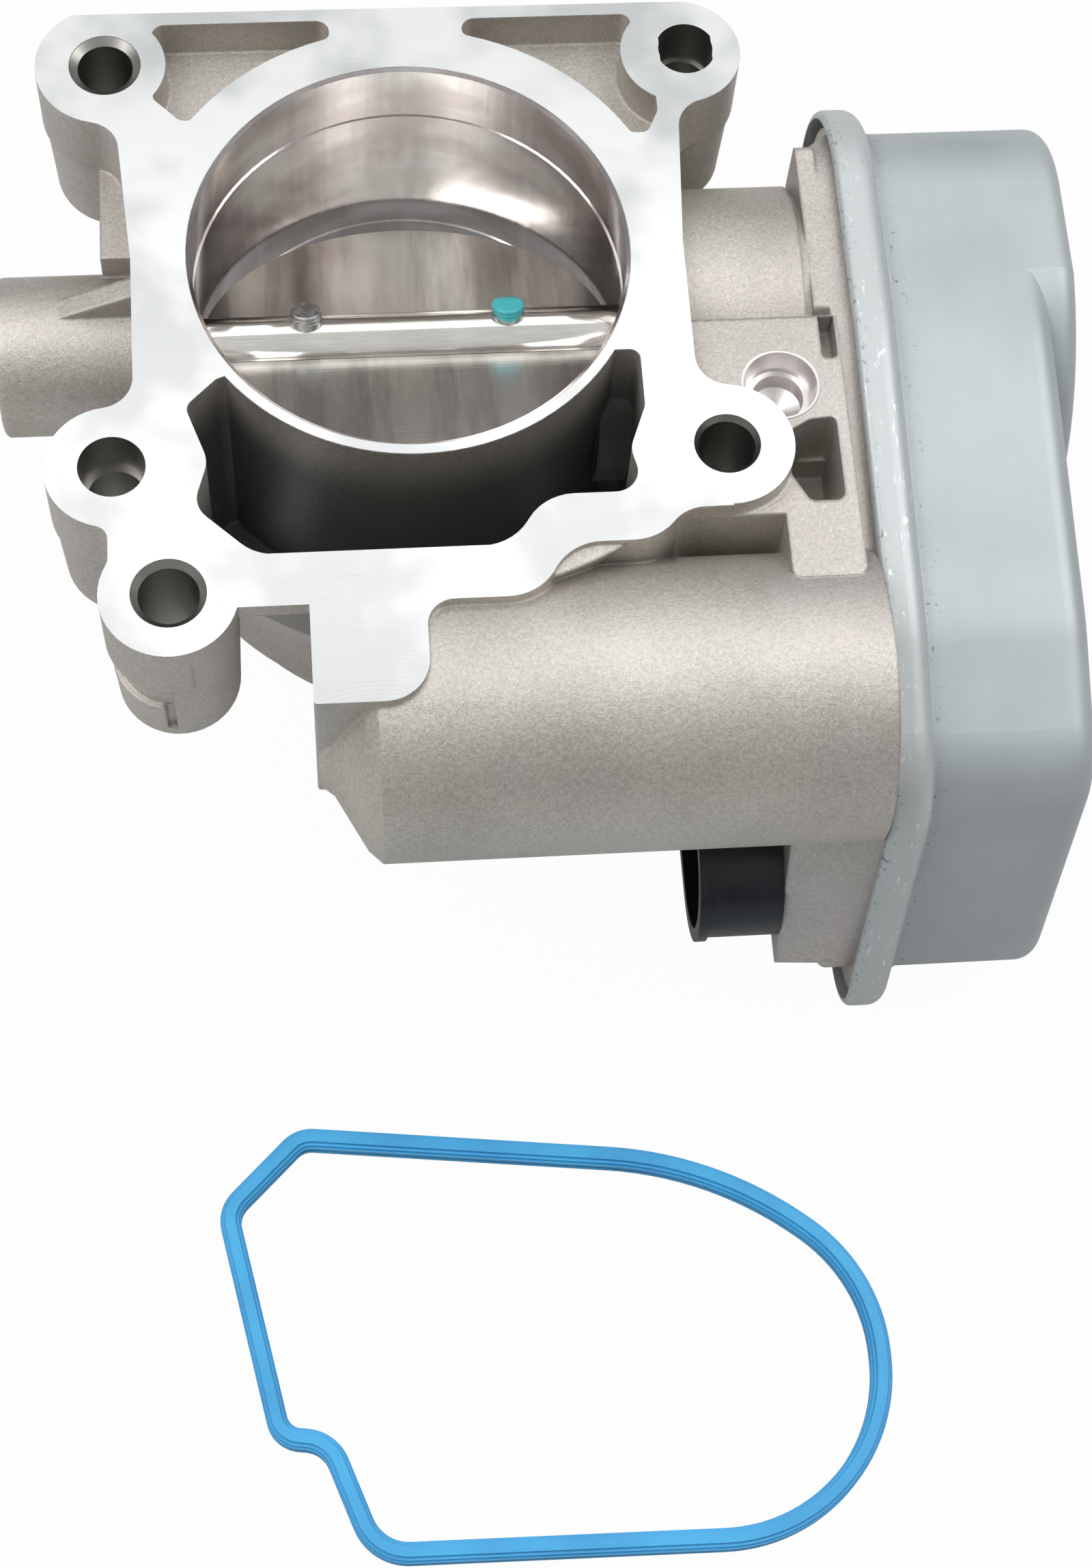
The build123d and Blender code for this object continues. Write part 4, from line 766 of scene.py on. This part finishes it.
@dataclass(frozen=True)
class BlueSilicone:
    """Bright blue moulded silicone with a soft sheen."""

    light: Colour = (0.040, 0.385, 0.72)
    dark: Colour = (0.030, 0.315, 0.63)
    cloud_scale: float = 0.08
    grain_scale: float = 3.5
    grain_mm: float = 0.02
    roughness: float = 0.42

    def material(self) -> bpy.types.Material:
        """Build the material.

        Returns:
            The finished material.
        """
        recipe = Recipe("blue_silicone")
        grain = recipe.noise(self.grain_scale)
        colour = recipe.blend(recipe.noise(self.cloud_scale, 3.0).rise(0.3, 0.7), self.dark, self.light)
        fixed = {"Coat Weight": 0.15, "Coat Roughness": 0.35}
        roughness = self.roughness + grain * 0.1
        return recipe.finish(colour, roughness, 0.0, recipe.bump(grain, self.grain_mm), fixed)


# ---------------------------------------------------------------- sub-assemblies

@dataclass
class Assembly:
    """Nodes of the part that are finished together."""

    nodes: dict[str, bpy.types.Object] = field(default_factory=lambda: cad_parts)

    def dress(self, finish: Finish, *names: str) -> None:
        """Give some nodes one finish.

        Args:
            finish: The finish of every part of them.
            names: The nodes.
        """
        material = finish.material()
        for name in names:
            piece = self.nodes[name]
            if not piece.material_slots:
                piece.data.materials.append(material)
            for slot in piece.material_slots:
                slot.material = material
            LOG.info("dressed %s with %s", name, material.name)


@dataclass
class HousingWork(Assembly):
    """The cast housing and what is fixed in it."""

    casting: CastBody = CastBody()
    steel: Metal = Metal("bearing_steel", (0.62, 0.62, 0.63), (0.48, 0.48, 0.50), 0.22, Lines.ALONG_X)
    rubber: Moulded = Moulded("seal_rubber", (0.030, 0.030, 0.032), (0.018, 0.018, 0.020), 0.55)
    wire: Metal = Metal("spring_wire", (0.42, 0.41, 0.40), (0.28, 0.27, 0.27))

    def build(self) -> None:
        """Dress the casting, its bearings and its seals."""
        self.dress(self.casting, "throttle_housing")
        self.dress(self.steel, "needle_bearing_cup", "bearing_needles", "ball_bearing_outer", "bearing_balls",
                   "transfer_pin", "idler_pin")
        self.dress(self.rubber, "shaft_seals", "shaft_end_plug", "cover_seal")
        self.dress(self.wire, "return_spring")


@dataclass
class CoverWork(Assembly):
    """The gear cover with its sensor board and the harness socket."""

    cover: CoatedCover = CoatedCover()
    plastic: Moulded = Moulded("socket_plastic", (0.012, 0.016, 0.022), (0.008, 0.010, 0.014), roughness=0.34,
                               grain=5.0, depth_mm=0.012, specular=0.4)
    brass: Metal = Metal("terminal_brass", (0.80, 0.62, 0.30), (0.66, 0.48, 0.20), 0.25, Lines.ALONG_X)
    board: Moulded = Moulded("sensor_board", (0.02, 0.14, 0.06), (0.012, 0.09, 0.04), roughness=0.35,
                             grain=3.0, depth_mm=0.02, coat=0.4)

    def build(self) -> None:
        """Dress the cover, the socket and the board."""
        self.dress(self.cover, "gear_cover")
        self.dress(self.plastic, "connector_shroud")
        self.dress(self.brass, "connector_terminals")
        self.dress(self.board, "sensor_board")


@dataclass
class ThrottleWork(Assembly):
    """The valve, the gears that turn it and the sensor's rotor."""

    plate: ValvePlate = ValvePlate()
    ground: Metal = Metal("ground_steel", (0.93, 0.91, 0.86), (0.80, 0.78, 0.73), 0.12, Lines.ALONG_X, 0.002)
    screws: ScrewSteel = ScrewSteel()
    turned: Metal = Metal("turned_steel", (0.62, 0.62, 0.63), (0.46, 0.46, 0.48), 0.24, Lines.AROUND_X)
    gear: Moulded = Moulded("gear_plastic", (0.70, 0.66, 0.54), (0.60, 0.56, 0.44), 0.42)
    rotor: Moulded = Moulded("rotor_plastic", (0.05, 0.05, 0.055), (0.03, 0.03, 0.034))
    magnet: Metal = Metal("magnet_grey", (0.30, 0.30, 0.31), (0.20, 0.20, 0.21), 0.45)

    def build(self) -> None:
        """Dress the plate, the shaft, the screws and the gears."""
        self.dress(self.plate, "throttle_plate")
        self.dress(self.ground, "throttle_shaft")
        self.dress(self.screws, "plate_screws")
        self.dress(self.turned, "ball_bearing_inner", "shaft_nut")
        self.dress(self.gear, "sector_gear", "transfer_gear", "idler_gear")
        self.dress(self.rotor, "sensor_rotor")
        self.dress(self.magnet, "sensor_magnets", "motor_magnets")


@dataclass
class MotorWork(Assembly):
    """The drive motor inside its barrel."""

    can: Metal = Metal("can_steel", (0.50, 0.50, 0.51), (0.38, 0.38, 0.39), 0.35, Lines.ALONG_X)
    cap: Moulded = Moulded("end_cap_plastic", (0.06, 0.06, 0.06), (0.04, 0.04, 0.04), 0.5)
    carbon: Moulded = Moulded("brush_carbon", (0.05, 0.05, 0.05), (0.03, 0.03, 0.03), 0.6)
    bronze: Metal = Metal("bush_bronze", (0.66, 0.48, 0.28), (0.52, 0.36, 0.20), 0.35)
    shaft: Metal = Metal("motor_shaft_steel", (0.74, 0.74, 0.74), (0.60, 0.60, 0.61), 0.18, Lines.AROUND_X)
    copper: Metal = Metal("winding_copper", (0.78, 0.36, 0.17), (0.60, 0.25, 0.10), 0.28, Lines.ALONG_X)

    def build(self) -> None:
        """Dress the motor's fixed and turning parts."""
        self.dress(self.can, "motor_can", "motor_plate", "motor_wave_spring", "motor_screws", "rotor_core")
        self.dress(self.cap, "motor_end_cap")
        self.dress(self.carbon, "motor_brushes")
        self.dress(self.bronze, "motor_bushes")
        self.dress(self.shaft, "motor_shaft", "motor_pinion")
        self.dress(self.copper, "rotor_windings", "commutator")


@dataclass
class GasketWork(Assembly):
    """The loose manifold gasket."""

    silicone: BlueSilicone = BlueSilicone()

    def build(self) -> None:
        """Dress the gasket."""
        self.dress(self.silicone, "manifold_gasket")


# ---------------------------------------------------------------- camera and studio

@dataclass(frozen=True)
class Camera:
    """Where the part is seen from: a place, and the angles of the view in degrees."""

    place_mm: Point = (-16.16, -254.2, 387.86)
    turn: float = -10.339
    height: float = 66.382
    roll: float = 6.87
    lens_mm: float = 70.546
    sensor_mm: float = 36.0
    near: float = 0.01
    far: float = 20.0

    def build(self) -> None:
        """Create the scene's camera."""
        turn, height, roll = (math.radians(angle) for angle in (self.turn, self.height, self.roll))
        level = math.cos(height)
        back = Vector((math.sin(turn) * level, -math.cos(turn) * level, math.sin(height)))
        right = (-back).cross(Vector((0.0, 0.0, 1.0))).normalized()
        up = right.cross(-back)
        across = right * math.cos(roll) + up * math.sin(roll)
        rise = up * math.cos(roll) - right * math.sin(roll)
        data = bpy.data.cameras.new("camera")
        data.lens = self.lens_mm
        data.sensor_width = self.sensor_mm
        data.clip_start = self.near
        data.clip_end = self.far
        camera = bpy.data.objects.new("camera", data)
        turned = Matrix((across, rise, back)).transposed().to_4x4()
        camera.matrix_world = Matrix.Translation(Vector(self.place_mm) * MM) @ turned
        bpy.context.scene.collection.objects.link(camera)
        bpy.context.scene.camera = camera
        LOG.info("camera placed")


@dataclass(frozen=True)
class Lamp:
    """One soft area lamp, in metres and watts."""

    name: str
    place: Point
    size: Span
    power: float
    aim: Point = (0.0, -0.03, -0.03)

    def build(self) -> None:
        """Create the lamp."""
        data = bpy.data.lights.new(self.name, "AREA")
        data.shape = "RECTANGLE"
        data.size, data.size_y = self.size
        data.energy = self.power
        lamp = bpy.data.objects.new(self.name, data)
        lamp.location = self.place
        lamp.rotation_euler = (Vector(self.aim) - Vector(self.place)).to_track_quat("-Z", "Y").to_euler()
        bpy.context.scene.collection.objects.link(lamp)
        LOG.info("lamp %s placed", self.name)


@dataclass
class Studio:
    """Floor, surroundings and lamps."""

    floor_z: float = -0.088
    reach: float = 1.6
    low_light: float = 0.20
    high_light: float = 0.62
    floor_colour: Colour = (0.5, 0.5, 0.5)
    floor_white: float = 0.97
    floor_mirrored: float = 0.20
    lamps: tuple[Lamp, ...] = (
        Lamp("lamp_high_left", (-0.60, -0.05, 0.90), (0.6, 0.8), 6.4),
        Lamp("lamp_high_right", (0.62, 0.10, 0.80), (0.45, 0.8), 4.2),
        Lamp("lamp_panel", (0.02, 0.62, 0.86), (1.0, 0.62), 1.5),
    )

    def _floor_material(self) -> bpy.types.Material:
        """Pale floor that shows white around the object and keeps its shadow.

        Returns:
            The finished material.
        """
        recipe = Recipe("studio_floor")
        path = recipe.node("ShaderNodeLightPath")
        straight = recipe.value(path, "Is Camera Ray").largest(recipe.value(path, "Is Transmission Ray"))
        mirrored = recipe.value(path, "Is Glossy Ray") * self.floor_mirrored
        diffuse = recipe.node("ShaderNodeBsdfDiffuse", {}, {"Color": self.floor_colour})
        glow = recipe.node("ShaderNodeEmission", {}, {"Color": WHITE, "Strength": 1.0})
        return recipe.closed(recipe.mixed((straight * self.floor_white).largest(mirrored), diffuse, glow))

    def _floor(self) -> None:
        """Create the floor."""
        mesh = bpy.data.meshes.new("floor")
        signs = ((-1, -1), (1, -1), (1, 1), (-1, 1))
        corners = [(x * self.reach, y * self.reach, self.floor_z) for x, y in signs]
        mesh.from_pydata(corners, [], [(0, 1, 2, 3)])
        floor = bpy.data.objects.new("floor", mesh)
        floor.data.materials.append(self._floor_material())
        bpy.context.scene.collection.objects.link(floor)
        LOG.info("floor laid")

    def _world(self) -> None:
        """White surroundings for the eye, and for the part a soft light that grows upwards."""
        world = bpy.data.worlds.new("studio")
        bpy.context.scene.world = world
        world.use_nodes = True
        graph = Graph(world.node_tree)
        path = graph.node("ShaderNodeLightPath")
        seen = graph.value(path, "Is Camera Ray").largest(graph.value(path, "Is Transmission Ray"))
        height = graph.split(graph.node("ShaderNodeTexCoord").outputs["Generated"])[2]
        strength = self.low_light + height.rise(0.0, 1.0) * (self.high_light - self.low_light)
        soft = graph.node("ShaderNodeBackground", {}, {"Color": WHITE, "Strength": strength})
        plain = graph.node("ShaderNodeBackground", {}, {"Color": WHITE})
        graph.node("ShaderNodeOutputWorld", {}, {0: graph.mixed(seen, soft, plain)})

    def build(self) -> None:
        """Create the studio."""
        self._floor()
        self._world()
        for lamp in self.lamps:
            lamp.build()
        bpy.context.scene.view_settings.view_transform = "Standard"
        LOG.info("studio ready")


def main() -> None:
    """Build everything in order."""
    logging.basicConfig(level=logging.INFO, format="%(name)s: %(message)s")
    Camera().build()
    Studio().build()
    for work in (HousingWork(), CoverWork(), ThrottleWork(), MotorWork(), GasketWork()):
        work.build()


if __name__ == "__main__":
    main()
